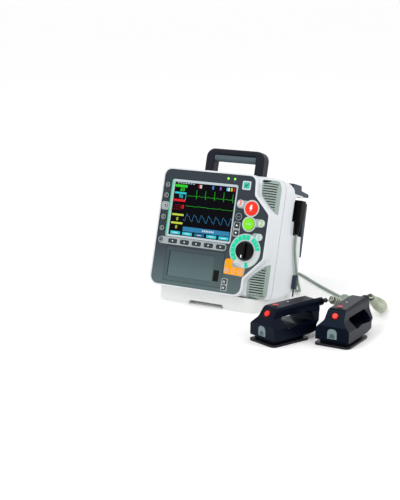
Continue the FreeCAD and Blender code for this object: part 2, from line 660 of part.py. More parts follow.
def battery_pack():
    pack = box(-98, -10, 74, 116, 66, 122)
    return pack.makeFillet(4, pack.Edges)


def circuit_boards():
    """Main board and high-voltage board on edge, each with its larger parts."""
    main = box(-96, 90, 62, 63.6, 130, 232)
    parts = [box(-70, -30, 63.6, 70, 150, 190), box(0, 30, 63.6, 68, 190, 215)]
    power = box(0, 70, 76, 77.6, 62, 122)
    choke = Part.makeCylinder(13, 18, V(45, 77.6, 100), V(0, 1, 0))
    return Part.makeCompound([main.fuse(parts).removeSplitter(), power.fuse(choke).removeSplitter()])


def storage_capacitor():
    """High-voltage energy store with two terminals."""
    can = Part.makeCylinder(21, 84, V(-40, 98, 160), V(1, 0, 0))
    posts = [Part.makeCylinder(2, 6, V(44, 98 + dy, 160), V(1, 0, 0)) for dy in (-8, 8)]
    return can.fuse(posts)


# ---- paddles ----------------------------------------------------------------------------
def paddle_profile():
    """Side outline, length and height: sloped nose, hand grip, leaning rear post."""
    nose = -PLATE_L / 2 + 3.5
    tail = PLATE_L / 2 + TAIL
    return [(nose, 9, 2), (nose, 33, 3), (nose + 19, PADDLE_H - 2, 7), (tail - 8, PADDLE_H, 4),
            (tail, PADDLE_H - 5, 4), (tail, PADDLE_H - 19, 4), (PLATE_L / 2 + 15, 24, 4),
            (PLATE_L / 2 + 14, 12, 3), (PLATE_L / 2 - 4, 9, 2)]


def finger_gap(grow):
    """Opening for the fingers between grip and base."""
    top = PADDLE_H - GRIP_T
    return [(-7 - grow, 25.5 - grow, 6), (16, 29.5 - grow, 20), (PLATE_L / 2 + 10, 25 - grow, 6),
            (PLATE_L / 2 + 19, top + grow, 7), (-14 - grow, top + grow, 4)]


def paddle_body():
    half = PLATE_W / 2 - 2
    grip = GRIP_W / 2
    full = side_prism(paddle_profile(), -half, half)
    # seen from the front: wide base, sloping cheeks, narrow rounded grip
    tail = PLATE_L
    front = [(-half, 8, 0), (half, 8, 0), (half, 29, 5), (grip + 2, 42, 8), (grip, PADDLE_H + 1, 9),
             (-grip, PADDLE_H + 1, 9), (-grip - 2, 42, 8), (-half, 29, 5)]
    body = full.common(front_prism(front, -PLATE_L, tail + 20))
    gap = side_prism(finger_gap(0), -half - 5, half + 5)
    tip = PLATE_L / 2 + TAIL
    gland = Part.makeCylinder(GLAND_R, GLAND_L + 3, V(0, tip - 3, PADDLE_H - 12), V(0, 1, 0))
    grooves = []
    for i in range(4):
        y = tip + 4 + 4.0 * i
        ring = Part.makeCylinder(GLAND_R + 1, 1.4, V(0, y, PADDLE_H - 12), V(0, 1, 0))
        core = Part.makeCylinder(GLAND_R - 1.2, 1.4, V(0, y, PADDLE_H - 12), V(0, 1, 0))
        grooves.append(ring.cut(core))
    rail = box(-half + 6, half - 6, -PLATE_L / 2 + 8, PLATE_L / 2 - 8, PLATE_T + 0.4, 9.5)
    foot = rail.makeFillet(2, [e for e in rail.Edges if e.BoundBox.ZLength > 5])
    body = body.cut(gap).fuse([gland, foot]).cut(grooves)
    button = Part.makeCylinder(BUTTON_R + FIT, 12, BUTTON_AT - BUTTON_OUT * 7.8, BUTTON_OUT)
    y0 = -PLATE_L / 2
    latch = tab_plan(FIT, y0 - 5, y0 + 8.6)
    return body.cut([button, latch]).removeSplitter()


BUTTON_R = 5.0
SLOPE = math.atan2(PADDLE_H - 2 - 33, 19)
BUTTON_OUT = V(0, -math.sin(SLOPE), math.cos(SLOPE))
BUTTON_AT = V(0, -PLATE_L / 2 + 3.5 + 11.5, 33 + 11.5 * math.tan(SLOPE))
LATCH_W = 17.0


def shock_button():
    cap = Part.makeCylinder(BUTTON_R, 8.0, BUTTON_AT - BUTTON_OUT * 5.2, BUTTON_OUT)
    top = [e for e in cap.Edges if (e.CenterOfMass - BUTTON_AT).dot(BUTTON_OUT) > 2]
    return cap.makeFillet(1.6, top)


def tab_plan(grow, y0, y1):
    """The release tab's arched outline, seen from the front."""
    half, round_top = LATCH_W / 2 + grow, 7.0 + grow
    return front_prism([(-half, 13 - grow, 1), (half, 13 - grow, 1), (half, 30 + grow, round_top),
                        (-half, 30 + grow, round_top)], y0, y1)


def plate_latch():
    """Release tab in the nose for the slide-off adult plate."""
    y0 = -PLATE_L / 2 + 2.6
    return soften(tab_plan(0, y0, y0 + 4.2), y0, 0.8)


def electrode_plate():
    half, length = PLATE_W / 2, PLATE_L / 2
    wire = rounded_wire([(-half, -length, 9), (half, -length, 9), (half, length, 9),
                         (-half, length, 9)], lambda p: V(p.x, p.y, 0))
    plate = Part.Face(wire).extrude(V(0, 0, PLATE_T))
    top = [e for e in plate.Edges if abs(e.BoundBox.ZMin - PLATE_T) < 1e-6]
    return plate.makeFillet(1.2, top)


def place_paddle(shape, at):
    x, y, turn = at
    done = shape.copy()
    done.rotate(V(0, 0, 0), V(0, 0, 1), turn)
    done.translate(V(x, y, 0))
    return done


# ---- cords ------------------------------------------------------------------------------
def cord_tube(name, points, diameter):
    """A tube along straight runs joined by tangent arcs, each as large as its runs allow."""
    nodes = [V(*p) for p in points]
    edges = []
    radii = []
    length = 0.0
    start = nodes[0]
    for i in range(1, len(nodes) - 1):
        here = nodes[i]
        back = nodes[i - 1] - here
        on = nodes[i + 1] - here
        run = 0.45 * min(back.Length, on.Length)
        turn = math.pi - back.getAngle(on)
        radius = run / math.tan(turn / 2)
        b, o = V(back).normalize(), V(on).normalize()
        first, last = here + b * run, here + o * run
        middle = (b + o).normalize()
        centre = here + middle * (radius / math.cos(turn / 2))
        via = centre - middle * radius
        edges.append(Part.LineSegment(start, first).toShape())
        edges.append(Part.Arc(first, via, last).toShape())
        length += (first - start).Length + radius * turn
        radii.append(radius)
        start = last
    edges.append(Part.LineSegment(start, nodes[-1]).toShape())
    length += (nodes[-1] - start).Length
    path = Part.Wire(edges)
    ring = Part.makeCircle(diameter / 2, nodes[0], nodes[1] - nodes[0])
    tube = path.makePipeShell([Part.Wire([ring])], True, False)
    wanted = math.pi * diameter ** 2 / 4 * length
    print("%s: length %.1f, radii %.0f to %.0f, volume ratio %.4f"
          % (name, length, min(radii), max(radii), tube.Volume / wanted))
    return tube


CORD_Z = TRUNK_D / 2 + 0.2
COIL_Z = COIL_D / 2 + 0.2
YOKE = V(205.3, 91.4, COIL_Z)
YOKE_RIGHT = V(221, 96, COIL_Z)
YOKE_LEFT = V(215, 76, COIL_Z)
TRUNK_END = (196, 99, 4.0)
TRUNK_ROUTE = [(121, 46.0, 106.5), (121.3, 48, 80), (121.6, 54, 54), (121.8, 60, 33),
               (120.5, 72, 14), (111, 92, 4.5), (88, 112, CORD_Z), (54, 126, CORD_Z),
               (22, 146, CORD_Z), (2, 174, CORD_Z), (-2, 204, CORD_Z), (10, 228, CORD_Z),
               (36, 234, CORD_Z), (62, 214, CORD_Z), (92, 186, CORD_Z), (136, 148, CORD_Z),
               (176, 115.5, CORD_Z + 0.2), TRUNK_END]
LEFT_ROUTE = [(251.06, -77.54, PADDLE_H - 12), (259, -51, 38), (262.5, -24, 24), (260.5, 3, 13),
              (249, 26, COIL_Z), (228.9, 53.9, COIL_Z), tuple(YOKE_LEFT)]
RIGHT_ROUTE = [(301.6, -27, PADDLE_H - 12), (301.4, -5, 38), (299.5, 17, 20), (298, 42, 9.5),
               (294, 66, COIL_Z), (282, 87, COIL_Z), (264, 101, COIL_Z), (242.1, 102.2, COIL_Z),
               tuple(YOKE_RIGHT)]


def gland_end(at):
    """End of a paddle's bend relief in the row frame."""
    x, y, turn = at
    reach = PLATE_L / 2 + TAIL + GLAND_L + SEAM_GAP
    a = math.radians(turn)
    return (x - reach * math.sin(a), y + reach * math.cos(a), PADDLE_H - 12)


def plug_exit():
    """End of the plug's neck in the row frame."""
    a = math.radians(TILT)
    z = PLUG_Z - 19.9 - NECK_L
    return (CORD_X, PLUG_Y * math.cos(a) + z * math.sin(a) - ORIGIN_BACK,
            z * math.cos(a) - PLUG_Y * math.sin(a))


def rod(a, b, r):
    return Part.makeCylinder(r, (b - a).Length, a, b - a)


def cord_splitter():
    """Moulded Y that joins the trunk to the two curly cords."""
    start = V(*TRUNK_END)
    stem = rod(start, YOKE, 3.6)
    arms = [rod(YOKE, end, 3.0) for end in (YOKE_RIGHT, YOKE_LEFT)]
    hub = Part.makeCylinder(5.0, 8.0, YOKE - V(0, 0, 4.0))
    return hub.fuse([stem] + arms)


def main():
    holes = make_keys()
    upright = {
        "front_shell": front_shell(),
        "rear_shell": rear_shell(),
        "front_panel": front_panel(holes),
        "control_plates": control_plates(holes),
        "indicator_lenses": indicator_lenses(),
        "screen_bezel": screen_bezel(),
        "screen_glass": screen_glass(),
        "display_module": display_module(),
        "side_grilles": side_grilles(),
        "carry_handle": carry_handle(),
        "handle_grip": handle_grip(),
        "rear_cradle": rear_cradle(),
        "cable_hook": cable_hook(),
        "paddle_socket": paddle_socket(),
        "paddle_plug": paddle_plug(),
        "printer_module": printer_module(),
        "printer_door": printer_door(),
        "door_latch": door_latch(),
        "paper_roll": paper_roll(),
        "mode_knob": mode_knob(),
        "mode_switch": mode_switch(),
        "speaker": speaker(),
        "battery_pack": battery_pack(),
        "circuit_boards": circuit_boards(),
        "storage_capacitor": storage_capacitor(),
    }
    for name, shape in upright.items():
        save(name, lean(shape))
    save("base_tray", base_tray())
    save("rubber_feet", rubber_feet())
    for side, at in (("left", LEFT_AT), ("right", RIGHT_AT)):
        save(side + "_paddle_body", place_paddle(paddle_body(), at))
        save(side + "_shock_button", place_paddle(shock_button(), at))
        save(side + "_plate_latch", place_paddle(plate_latch(), at))
        save(side + "_electrode_plate", place_paddle(electrode_plate(), at))
    save("trunk_cord", cord_tube("trunk_cord", [plug_exit()] + TRUNK_ROUTE, TRUNK_D))
    save("left_curly_cord", cord_tube("left_curly_cord", [gland_end(LEFT_AT)] + LEFT_ROUTE, COIL_D))
    save("right_curly_cord",
         cord_tube("right_curly_cord", [gland_end(RIGHT_AT)] + RIGHT_ROUTE, COIL_D))
    save("cord_splitter", cord_splitter())


main()
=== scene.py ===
"""A portable monitor defibrillator with two hand paddles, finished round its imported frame.

The sections follow the object as it is put together: the view, the cords, the case, the
front, the controls, the screen, the recorder, the handle and cradle, and the paddles.
"""
import math
import bpy
import numpy as np
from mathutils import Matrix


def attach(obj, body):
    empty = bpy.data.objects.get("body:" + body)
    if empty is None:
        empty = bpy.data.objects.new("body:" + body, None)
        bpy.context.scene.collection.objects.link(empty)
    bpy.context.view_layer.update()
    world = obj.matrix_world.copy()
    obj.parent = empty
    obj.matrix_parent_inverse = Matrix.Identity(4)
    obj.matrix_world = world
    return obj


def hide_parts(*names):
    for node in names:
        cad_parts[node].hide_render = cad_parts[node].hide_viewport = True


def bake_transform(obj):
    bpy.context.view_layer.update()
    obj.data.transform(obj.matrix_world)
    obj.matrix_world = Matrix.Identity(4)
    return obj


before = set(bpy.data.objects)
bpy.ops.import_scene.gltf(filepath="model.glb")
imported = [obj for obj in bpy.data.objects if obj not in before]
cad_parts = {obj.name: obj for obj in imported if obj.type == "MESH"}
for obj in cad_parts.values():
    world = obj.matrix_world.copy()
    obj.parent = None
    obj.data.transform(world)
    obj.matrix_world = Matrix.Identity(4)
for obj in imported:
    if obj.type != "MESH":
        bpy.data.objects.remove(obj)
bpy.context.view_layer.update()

# ---- The view ---------------------------------------------------------------------------
# A long lens, a little above the table and to the operator's right, looking back at the
# leaning face.  The floor is plain and pale, and two large soft lamps and an even white
# surround light it.
LOOK_AZIMUTH = math.radians(30.69)
LOOK_DOWN = math.radians(12.96)
CAMERA_PLACE = (1.0137, -1.8054, 0.5686)
LENS_MM = 80.8
FLOOR_REACH = 150.0
camera_data = bpy.data.cameras.new("camera")
camera_data.lens = LENS_MM
camera_data.sensor_width = 36.0
camera_data.clip_end = 400.0
camera = bpy.data.objects.new("camera", camera_data)
camera.location = CAMERA_PLACE
camera.rotation_euler = (math.pi / 2 - LOOK_DOWN, 0, LOOK_AZIMUTH)
bpy.context.collection.objects.link(camera)
bpy.context.scene.camera = camera
bpy.context.scene.view_settings.view_transform = "Standard"


def srgb(code):
    """An sRGB hex colour as linear RGBA."""
    parts = [int(code[i:i + 2], 16) / 255 for i in (1, 3, 5)]
    linear = [p / 12.92 if p < 0.04045 else ((p + 0.055) / 1.055) ** 2.4 for p in parts]
    return (*linear, 1.0)


def add(tree, kind, values=(), links=(), **settings):
    """Add a node, set its sockets and settings, and link other nodes' outputs into it."""
    new = tree.nodes.new(kind)
    for key, value in settings.items():
        setattr(new, key, value)
    for key, value in dict(values).items():
        new.inputs[key].default_value = value
    for key, source in dict(links).items():
        tree.links.new(source, new.inputs[key])
    return new


def blank(name):
    """A material with an empty tree, its output and its shader."""
    material = bpy.data.materials.new(name)
    material.use_nodes = True
    tree = material.node_tree
    tree.nodes.clear()
    shader = add(tree, "ShaderNodeBsdfPrincipled")
    add(tree, "ShaderNodeOutputMaterial", links={"Surface": shader.outputs["BSDF"]})
    return material, tree, shader


def lamp(name, place, aim, size, power):
    """A large soft area lamp at place, facing aim."""
    data = bpy.data.lights.new(name, "AREA")
    data.shape = "DISK"
    data.size = size
    data.energy = power
    holder = bpy.data.objects.new(name, data)
    away = np.array(place) - np.array(aim)
    flat = math.hypot(away[0], away[1])
    holder.location = place
    holder.rotation_euler = (math.atan2(flat, away[2]), 0, math.atan2(away[0], -away[1]))
    bpy.context.collection.objects.link(holder)


lamp("key_lamp", (-0.7, -1.6, 2.4), (0.05, 0, 0.1), 0.8, 16)
lamp("rim_lamp", (2.2, 0.2, 1.4), (0.1, 0, 0.1), 0.8, 9)
world = bpy.data.worlds.new("studio")
world.use_nodes = True
world.node_tree.nodes["Background"].inputs["Color"].default_value = srgb("#ffffff")
world.node_tree.nodes["Background"].inputs["Strength"].default_value = 1.0
bpy.context.scene.world = world

floor_mesh = bpy.data.meshes.new("floor")
corners = [(a * FLOOR_REACH, b * FLOOR_REACH, 0) for a, b in ((-1, -1), (1, -1), (1, 1), (-1, 1))]
floor_mesh.from_pydata(corners, [], [(0, 1, 2, 3)])
floor = bpy.data.objects.new("floor", floor_mesh)
bpy.context.collection.objects.link(floor)
floor_paint, tree, shader = blank("studio_paper")
grain = add(tree, "ShaderNodeTexNoise", {"Scale": 3.0, "Detail": 2.0})
tint = add(tree, "ShaderNodeMix", {"A": srgb("#fdfdfd"), "B": srgb("#ffffff")},
           {"Factor": grain.outputs["Fac"]}, data_type="RGBA")
tree.links.new(tint.outputs["Result"], shader.inputs["Base Color"])
shader.inputs["Roughness"].default_value = 0.8
floor_mesh.materials.append(floor_paint)


# ---- Moulded plastics ---------------------------------------------------------------------
# Case, keys and paddles are injection-moulded ABS, spark-eroded to a fine texture: a slight
# change of tone over the part, a grain of about half a millimetre and an even satin sheen.
def moulded(name, code, rough=0.45, grain_mm=0.6, depth=0.12, shade=0.06, glow=0.0, gloss=0.5):
    """Moulded ABS in one colour, with tone, sheen and grain from noise in object space."""
    material, tree, shader = blank(name)
    where = add(tree, "ShaderNodeTexCoord").outputs["Object"]
    cloud = add(tree, "ShaderNodeTexNoise", {"Scale": 22.0, "Detail": 3.0}, {"Vector": where})
    dark = [c * (1 - shade) for c in srgb(code)[:3]] + [1.0]
    light = [min(c * (1 + shade * 0.6), 1.0) for c in srgb(code)[:3]] + [1.0]
    tone = add(tree, "ShaderNodeMix", {"A": dark, "B": light}, {"Factor": cloud.outputs["Fac"]},
               data_type="RGBA")
    tree.links.new(tone.outputs["Result"], shader.inputs["Base Color"])
    sheen = add(tree, "ShaderNodeMapRange", {"To Min": rough - 0.04, "To Max": rough + 0.06},
                {"Value": cloud.outputs["Fac"]})
    tree.links.new(sheen.outputs["Result"], shader.inputs["Roughness"])
    pits = add(tree, "ShaderNodeTexNoise", {"Scale": 1000 / grain_mm, "Detail": 2.0},
               {"Vector": where})
    bump = add(tree, "ShaderNodeBump", {"Strength": depth, "Distance": 0.0002},
               {"Height": pits.outputs["Fac"]})
    tree.links.new(bump.outputs["Normal"], shader.inputs["Normal"])
    shader.inputs["Specular IOR Level"].default_value = gloss
    if glow:
        shader.inputs["Emission Color"].default_value = srgb(code)
        shader.inputs["Emission Strength"].default_value = glow
    return material


def dress(material, *nodes):
    """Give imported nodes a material."""
    for name in nodes:
        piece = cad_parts[name]
        if not piece.material_slots:
            piece.data.materials.append(material)
        for held in piece.material_slots:
            held.material = material


# ---- Surfaces -----------------------------------------------------------------------------
# New pieces are grids of points worked out as whole arrays, or flat outlines with a thickness.
def grid_faces(rows, columns, round_rows=False, round_columns=False):
    """Quads of a grid of points, wrapped round in either direction."""
    i = np.arange(rows if round_rows else rows - 1)[:, None]
    j = np.arange(columns if round_columns else columns - 1)[None, :]
    a = i * columns + j
    b = i * columns + (j + 1) % columns
    c = ((i + 1) % rows) * columns + (j + 1) % columns
    d = ((i + 1) % rows) * columns + j
    return np.stack([a, b, c, d], -1).reshape(-1, 4)


def build(name, points, faces, body, material, smooth=True):
    """A mesh piece from points and faces, riding on a body unless that is None."""
    mesh = bpy.data.meshes.new(name)
    mesh.from_pydata(np.asarray(points).tolist(), [], [list(map(int, f)) for f in faces])
    mesh.polygons.foreach_set("use_smooth", np.full(len(mesh.polygons), smooth))
    mesh.materials.append(material)
    mesh.update()
    piece = bpy.data.objects.new(name, mesh)
    bpy.context.collection.objects.link(piece)
    if body:
        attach(piece, body)
    return piece


def tube(line, across, radius, sides=8):
    """A round section carried along a line: points, and quads with both ends closed."""
    along = np.gradient(line, axis=0)
    along /= np.linalg.norm(along, axis=1)[:, None]
    first = across - (across * along).sum(1)[:, None] * along
    first /= np.linalg.norm(first, axis=1)[:, None]
    second = np.cross(along, first)
    turn = np.arange(sides) * 2 * np.pi / sides
    reach = np.broadcast_to(np.asarray(radius), (len(line),))[:, None, None]
    ring = (first[:, None] * np.cos(turn)[None, :, None]
            + second[:, None] * np.sin(turn)[None, :, None])
    points = (line[:, None] + reach * ring).reshape(-1, 3)
    faces = grid_faces(len(line), sides, False, True)[:, ::-1].tolist()
    faces.append(list(range(sides)))
    faces.append(list(range((len(line) - 1) * sides, len(line) * sides))[::-1])
    return points, faces


# ---- Trunk cord -----------------------------------------------------------------------------
# A 5 mm PVC cord from the plug: it hangs down the case side, runs through the hook, goes behind
# the base and comes out along the table to the splitter.  Its spline follows the route's points.
def cord_curve(name, points, diameter):
    """A smooth curve that has the route's points as its control points."""
    curve = bpy.data.curves.new(name, "CURVE")
    curve.dimensions = "3D"
    curve.resolution_u = 12
    curve.bevel_depth = diameter / 2
    curve.bevel_resolution = 5
    curve.use_fill_caps = True
    spline = curve.splines.new("NURBS")
    spline.points.add(len(points) - 1)
    spline.points.foreach_set("co", np.column_stack([points, np.ones(len(points))]).ravel())
    spline.order_u = 3
    spline.use_endpoint_u = True
    piece = bpy.data.objects.new(name, curve)
    bpy.context.collection.objects.link(piece)
    return piece


def curve_line(piece):
    """The centreline of a curve with no bevel, as an array of points."""
    mesh = bpy.data.meshes.new_from_object(piece)
    line = np.empty(len(mesh.vertices) * 3)
    mesh.vertices.foreach_get("co", line)
    return line.reshape(-1, 3)


def sheath(name, code, rough, ring_mm=1.2):
    """Soft PVC: an even colour with faint drawing marks round the cord."""
    material, tree, shader = blank(name)
    where = add(tree, "ShaderNodeTexCoord").outputs["Object"]
    cloud = add(tree, "ShaderNodeTexNoise", {"Scale": 60.0, "Detail": 4.0}, {"Vector": where})
    dark = [c * 0.86 for c in srgb(code)[:3]] + [1.0]
    tone = add(tree, "ShaderNodeMix", {"A": dark, "B": srgb(code)},
               {"Factor": cloud.outputs["Fac"]}, data_type="RGBA")
    tree.links.new(tone.outputs["Result"], shader.inputs["Base Color"])
    marks = add(tree, "ShaderNodeTexNoise", {"Scale": 1000 / ring_mm, "Detail": 1.0},
                {"Vector": where})
    bump = add(tree, "ShaderNodeBump", {"Strength": 0.15, "Distance": 0.0003},
               {"Height": marks.outputs["Fac"]})
    tree.links.new(bump.outputs["Normal"], shader.inputs["Normal"])
    shader.inputs["Roughness"].default_value = rough
    return material


CORD_Z = 0.0027
TRUNK_EXIT = (0.121, 0.0514, 0.1255)
TRUNK_END = (0.196, 0.099, 0.004)
TRUNK_ROUTE = [TRUNK_EXIT, (0.121, 0.046, 0.1065), (0.1213, 0.048, 0.080), (0.1216, 0.054, 0.054),
               (0.1218, 0.060, 0.033), (0.1205, 0.072, 0.014), (0.111, 0.092, 0.0045),
               (0.088, 0.112, CORD_Z), (0.054, 0.126, CORD_Z), (0.022, 0.146, CORD_Z),
               (0.002, 0.174, CORD_Z), (-0.002, 0.204, CORD_Z), (0.010, 0.228, CORD_Z),
               (0.036, 0.234, CORD_Z), (0.062, 0.214, CORD_Z), (0.092, 0.186, CORD_Z),
               (0.136, 0.148, CORD_Z), (0.176, 0.1155, CORD_Z + 0.0002), TRUNK_END]
TRUNK_D = 0.005
trunk_paint = sheath("trunk_pvc", "#8b9c8e", 0.42)
bare_trunk = cord_curve("trunk_line", TRUNK_ROUTE, 0)
trunk_line = curve_line(bare_trunk)
bpy.data.objects.remove(bare_trunk)
trunk = cord_curve("trunk", TRUNK_ROUTE, TRUNK_D)
trunk.data.materials.append(trunk_paint)
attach(trunk, "monitor")
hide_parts("trunk_cord")
dress(trunk_paint, "cord_splitter")

# ---- Curly cords ----------------------------------------------------------------------------
# Each paddle has a 3 mm polyurethane cord wound into a helix of 15 mm outer diameter, drawn out
# to a 5 mm pitch so that its turns show, with a plain lead and a black ferrule at the paddle.
COIL_Z = 0.0077
GRIP_Z = 0.050
LEFT_GLAND = (0.24314, -0.09774, GRIP_Z)
RIGHT_GLAND = (0.3015, -0.0457, GRIP_Z)
LEFT_ROUTE = [LEFT_GLAND, (0.25106, -0.07754, GRIP_Z), (0.259, -0.051, 0.038),
              (0.2625, -0.024, 0.024), (0.2605, 0.003, 0.013), (0.249, 0.026, COIL_Z),
              (0.2289, 0.0539, COIL_Z), (0.215, 0.076, COIL_Z)]
RIGHT_ROUTE = [RIGHT_GLAND, (0.3016, -0.027, GRIP_Z), (0.3014, -0.005, 0.038),
               (0.2995, 0.017, 0.020), (0.298, 0.042, 0.0095), (0.294, 0.066, COIL_Z),
               (0.282, 0.087, COIL_Z), (0.264, 0.101, COIL_Z), (0.2421, 0.1022, COIL_Z),
               (0.221, 0.096, COIL_Z)]
WIRE_D = 0.0030
COIL_R = 0.0075 - WIRE_D / 2
PITCH = 0.0050
LEAD = 0.010
SPREAD = 0.014
TURN_LAG = 0.010
TURN_POINTS = 16
WIRE_SIDES = 8
FERRULE_L = 0.011
coil_paint = sheath("curly_polyurethane", "#bcc4ae", 0.38)
tree = coil_paint.node_tree
shader = next(n for n in tree.nodes if n.type == "BSDF_PRINCIPLED")
tone = shader.inputs["Base Color"].links[0].from_node
# The inner side of each turn, toward the coil's axis, fades to a dark grey-green: painted shade
# between the turns.
gap_shade_mask = add(tree, "ShaderNodeMapRange", {"From Min": 0.35, "From Max": 0.95},
             {"Value": add(tree, "ShaderNodeAttribute", attribute_name="outward").outputs["Fac"]})
gap_shade_mix = add(tree, "ShaderNodeMix", {"A": srgb("#4a5348")},
           {"Factor": gap_shade_mask.outputs["Result"], "B": tone.outputs["Result"]}, data_type="RGBA")
tree.links.new(gap_shade_mix.outputs["Result"], shader.inputs["Base Color"])
ferrule_paint = moulded("ferrule_rubber", "#0c0d10", rough=0.55)


def even(line, step):
    """The same line with points a step apart, and the distance along it."""
    along = np.concatenate([[0], np.cumsum(np.linalg.norm(np.diff(line, axis=0), axis=1))])
    count = int(along[-1] / step) + 1
    at = np.linspace(0, along[-1], count)
    return np.column_stack([np.interp(at, along, line[:, k]) for k in range(3)]), at


def curly_cord(side, route):
    """A helix of even pitch round the route.  Past each lead it opens out over SPREAD and starts
    to turn TURN_LAG later; the wire's tightest bends are at that start."""
    bare = cord_curve(side + "_route", route, 0)
    line = curve_line(bare)
    bpy.data.objects.remove(bare)
    middle, at = even(line, PITCH / TURN_POINTS)
    along = np.gradient(middle, axis=0)
    along /= np.linalg.norm(along, axis=1)[:, None]
    out = np.cross(along, (0, 0, 1))
    out /= np.linalg.norm(out, axis=1)[:, None]
    up = np.cross(out, along)
    past_lead = np.minimum(at, at[-1] - at) - LEAD
    opened = np.clip(past_lead / SPREAD, 0, 1)
    reach = COIL_R * opened * opened * (3 - 2 * opened)
    turning = np.clip((past_lead - TURN_LAG) / TURN_LAG, 0, 1)
    turn = 2 * np.pi / PITCH * np.cumsum(turning) * (at[1] - at[0])
    radial = out * np.cos(turn)[:, None] + up * np.sin(turn)[:, None]
    helix = middle + reach[:, None] * radial
    points, faces = tube(helix, radial, WIRE_D / 2, WIRE_SIDES)
    piece = build(side + "_curly", points, faces, None, coil_paint)
    side_turn = np.arange(WIRE_SIDES) * 2 * np.pi / WIRE_SIDES
    outward = np.tile((1 + np.cos(side_turn)) / 2, len(helix))
    piece.data.attributes.new("outward", "FLOAT", "POINT").data.foreach_set("value", outward)
    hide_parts(side + "_curly_cord")
    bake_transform(piece)
    return middle, at


def ferrule(name, middle, at, body):
    """A short tapered rubber sleeve on the lead, ribbed at its thick end."""
    line = middle[at <= FERRULE_L]
    s = np.linspace(0, 1, len(line))
    radius = 0.0021 + 0.0016 * s + 0.0004 * (np.sin(s * 40) > 0) * (s > 0.4)
    points, faces = tube(line, np.broadcast_to((0, 0, 1.0), line.shape), radius, 20)
    build(name, points, faces, body, ferrule_paint)


left_middle, left_at = curly_cord("left", LEFT_ROUTE)
right_middle, right_at = curly_cord("right", RIGHT_ROUTE)

ferrule("left_ferrule", left_middle, left_at, "left_paddle")
ferrule("right_ferrule", right_middle, right_at, "right_paddle")

# ---- Case and base --------------------------------------------------------------------------
# Front and rear shells are white ABS mouldings that meet at a fine seam, on a level white tray
# with four rubber pads.  Eroded texture keeps the white from looking glassy.
shell_paint = moulded("white_shell_abs", "#d6dade", rough=0.42, shade=0.02, gloss=0.35)
base_paint = moulded("white_base_abs", "#dfe1df", rough=0.5, shade=0.03)
pad_paint = moulded("foot_rubber_epdm", "#1d1f21", rough=0.85, gloss=0.2)
dress(shell_paint, "front_shell", "rear_shell")
dress(base_paint, "base_tray")
dress(pad_paint, "rubber_feet")

TILT = math.radians(16)
FACE_BACK = 99.0


def face(u, s, d):
    """A place u across, s up and d behind the leaning face, in mm, as metres in the row frame."""
    u, s, d = np.broadcast_arrays(np.asarray(u, float), s, d)
    return np.stack([u, d * math.cos(TILT) + s * math.sin(TILT) - FACE_BACK,
                     s * math.cos(TILT) - d * math.sin(TILT)], -1) / 1000


# ---- Seam gasket ----------------------------------------------------------------------------
# A black silicone cord is squeezed in the seam between the two shells, so the seam shows as a
# fine dark line round the case.
gasket_paint = moulded("seam_silicone", "#2a2f33", rough=0.6, gloss=0.2)
SEAM_HALF, SEAM_LOW, SEAM_HIGH = 116.8, 33.2, 256.3
SEAM_TOP_R, SEAM_LOW_R, SEAM_D = 21.8, 11.8, 50.15
GASKET_R = 0.00042


def seam_line(half, low, high, top_r, low_r, d):
    """The case outline at depth d, from a straight foot round both sides and the top: quarter
    circles of top_r and low_r joined by straight runs."""
    quarter = np.radians(np.linspace(0, 90, 12))
    side = np.linspace(low + low_r, high - top_r, 20)
    right = np.column_stack([np.full(20, half), side])
    corner = np.column_stack([half - top_r + top_r * np.cos(quarter),
                              high - top_r + top_r * np.sin(quarter)])
    foot = np.column_stack([half - low_r + low_r * np.sin(quarter),
                            low + low_r - low_r * np.cos(quarter)])
    run = np.concatenate([foot[:-1], right, corner[1:]])
    both = np.concatenate([run, (run * (-1, 1))[::-1]])
    return face(both[:, 0], both[:, 1], d)


ring = seam_line(SEAM_HALF, SEAM_LOW, SEAM_HIGH, SEAM_TOP_R, SEAM_LOW_R, SEAM_D)
toward = np.broadcast_to(face(0, 0, 1.0) - face(0, 0, 0), ring.shape)
points, faces = tube(ring, toward, GASKET_R, 6)
build("seam_gasket", points, faces, "monitor", gasket_paint)

# ---- Side grilles ---------------------------------------------------------------------------
# Louvred corner inserts of grey-green ABS over the loudspeaker and the air outlet.  A near-black
# sheet right behind the louvres is painted shade, so the slots read dark.
grille_paint = moulded("grille_abs", "#93a39c", rough=0.5, shade=0.05)
dress(grille_paint, "side_grilles")
# The sheet's near-black colour is painted shade standing for the dark inside of the slots.
slot_shade_paint = moulded("slot_shade_sheet", "#151a1a", rough=0.95, grain_mm=0.5, depth=0.6, gloss=0.1)
SHADE_SHEET_IN = 2.65
SHADE_SHEET_END_D = 30.6
CASE_HALF, CASE_FRONT, CASE_CORNER = 117.0, 8.0, 20.0
CASE_SHOULDER, SHOULDER_S, CASE_FOOT, CASE_FOOT_S = 22.0, 234.5, 12.0, 45.0


def lay_slot_shade(name, heights, left_u):
    """The case corner's surface set in by SHADE_SHEET_IN: each row starts at left_u and runs round
    a quarter circle in plan to the side, moved in where the case's top corner is round."""
    rows = []
    for s, u0 in zip(heights, left_u):
        over, under = max(s - SHOULDER_S, 0), max(CASE_FOOT_S - s, 0)
        side = (CASE_HALF - SHADE_SHEET_IN - CASE_SHOULDER + math.sqrt(CASE_SHOULDER ** 2 - over ** 2)
                - CASE_FOOT + math.sqrt(CASE_FOOT ** 2 - under ** 2))
        r = CASE_CORNER - SHADE_SHEET_IN
        middle = side - r
        start = math.asin(max(min((u0 - middle) / r, 1), -1)) if u0 > middle else 0.0
        turn = np.linspace(start, math.pi / 2, 14)
        u = np.concatenate([[min(u0, middle)], middle + r * np.sin(turn), [side]])
        d = np.concatenate([[CASE_FRONT + SHADE_SHEET_IN], CASE_FRONT + SHADE_SHEET_IN + r * (1 - np.cos(turn)),
                            [SHADE_SHEET_END_D]])
        if u0 > middle:
            u[0], d[0] = u[1], d[1]
        rows.append(face(u, s, d))
    rows = np.array(rows)
    build(name, rows.reshape(-1, 3), grid_faces(*rows.shape[:2]), "monitor",
          slot_shade_paint)


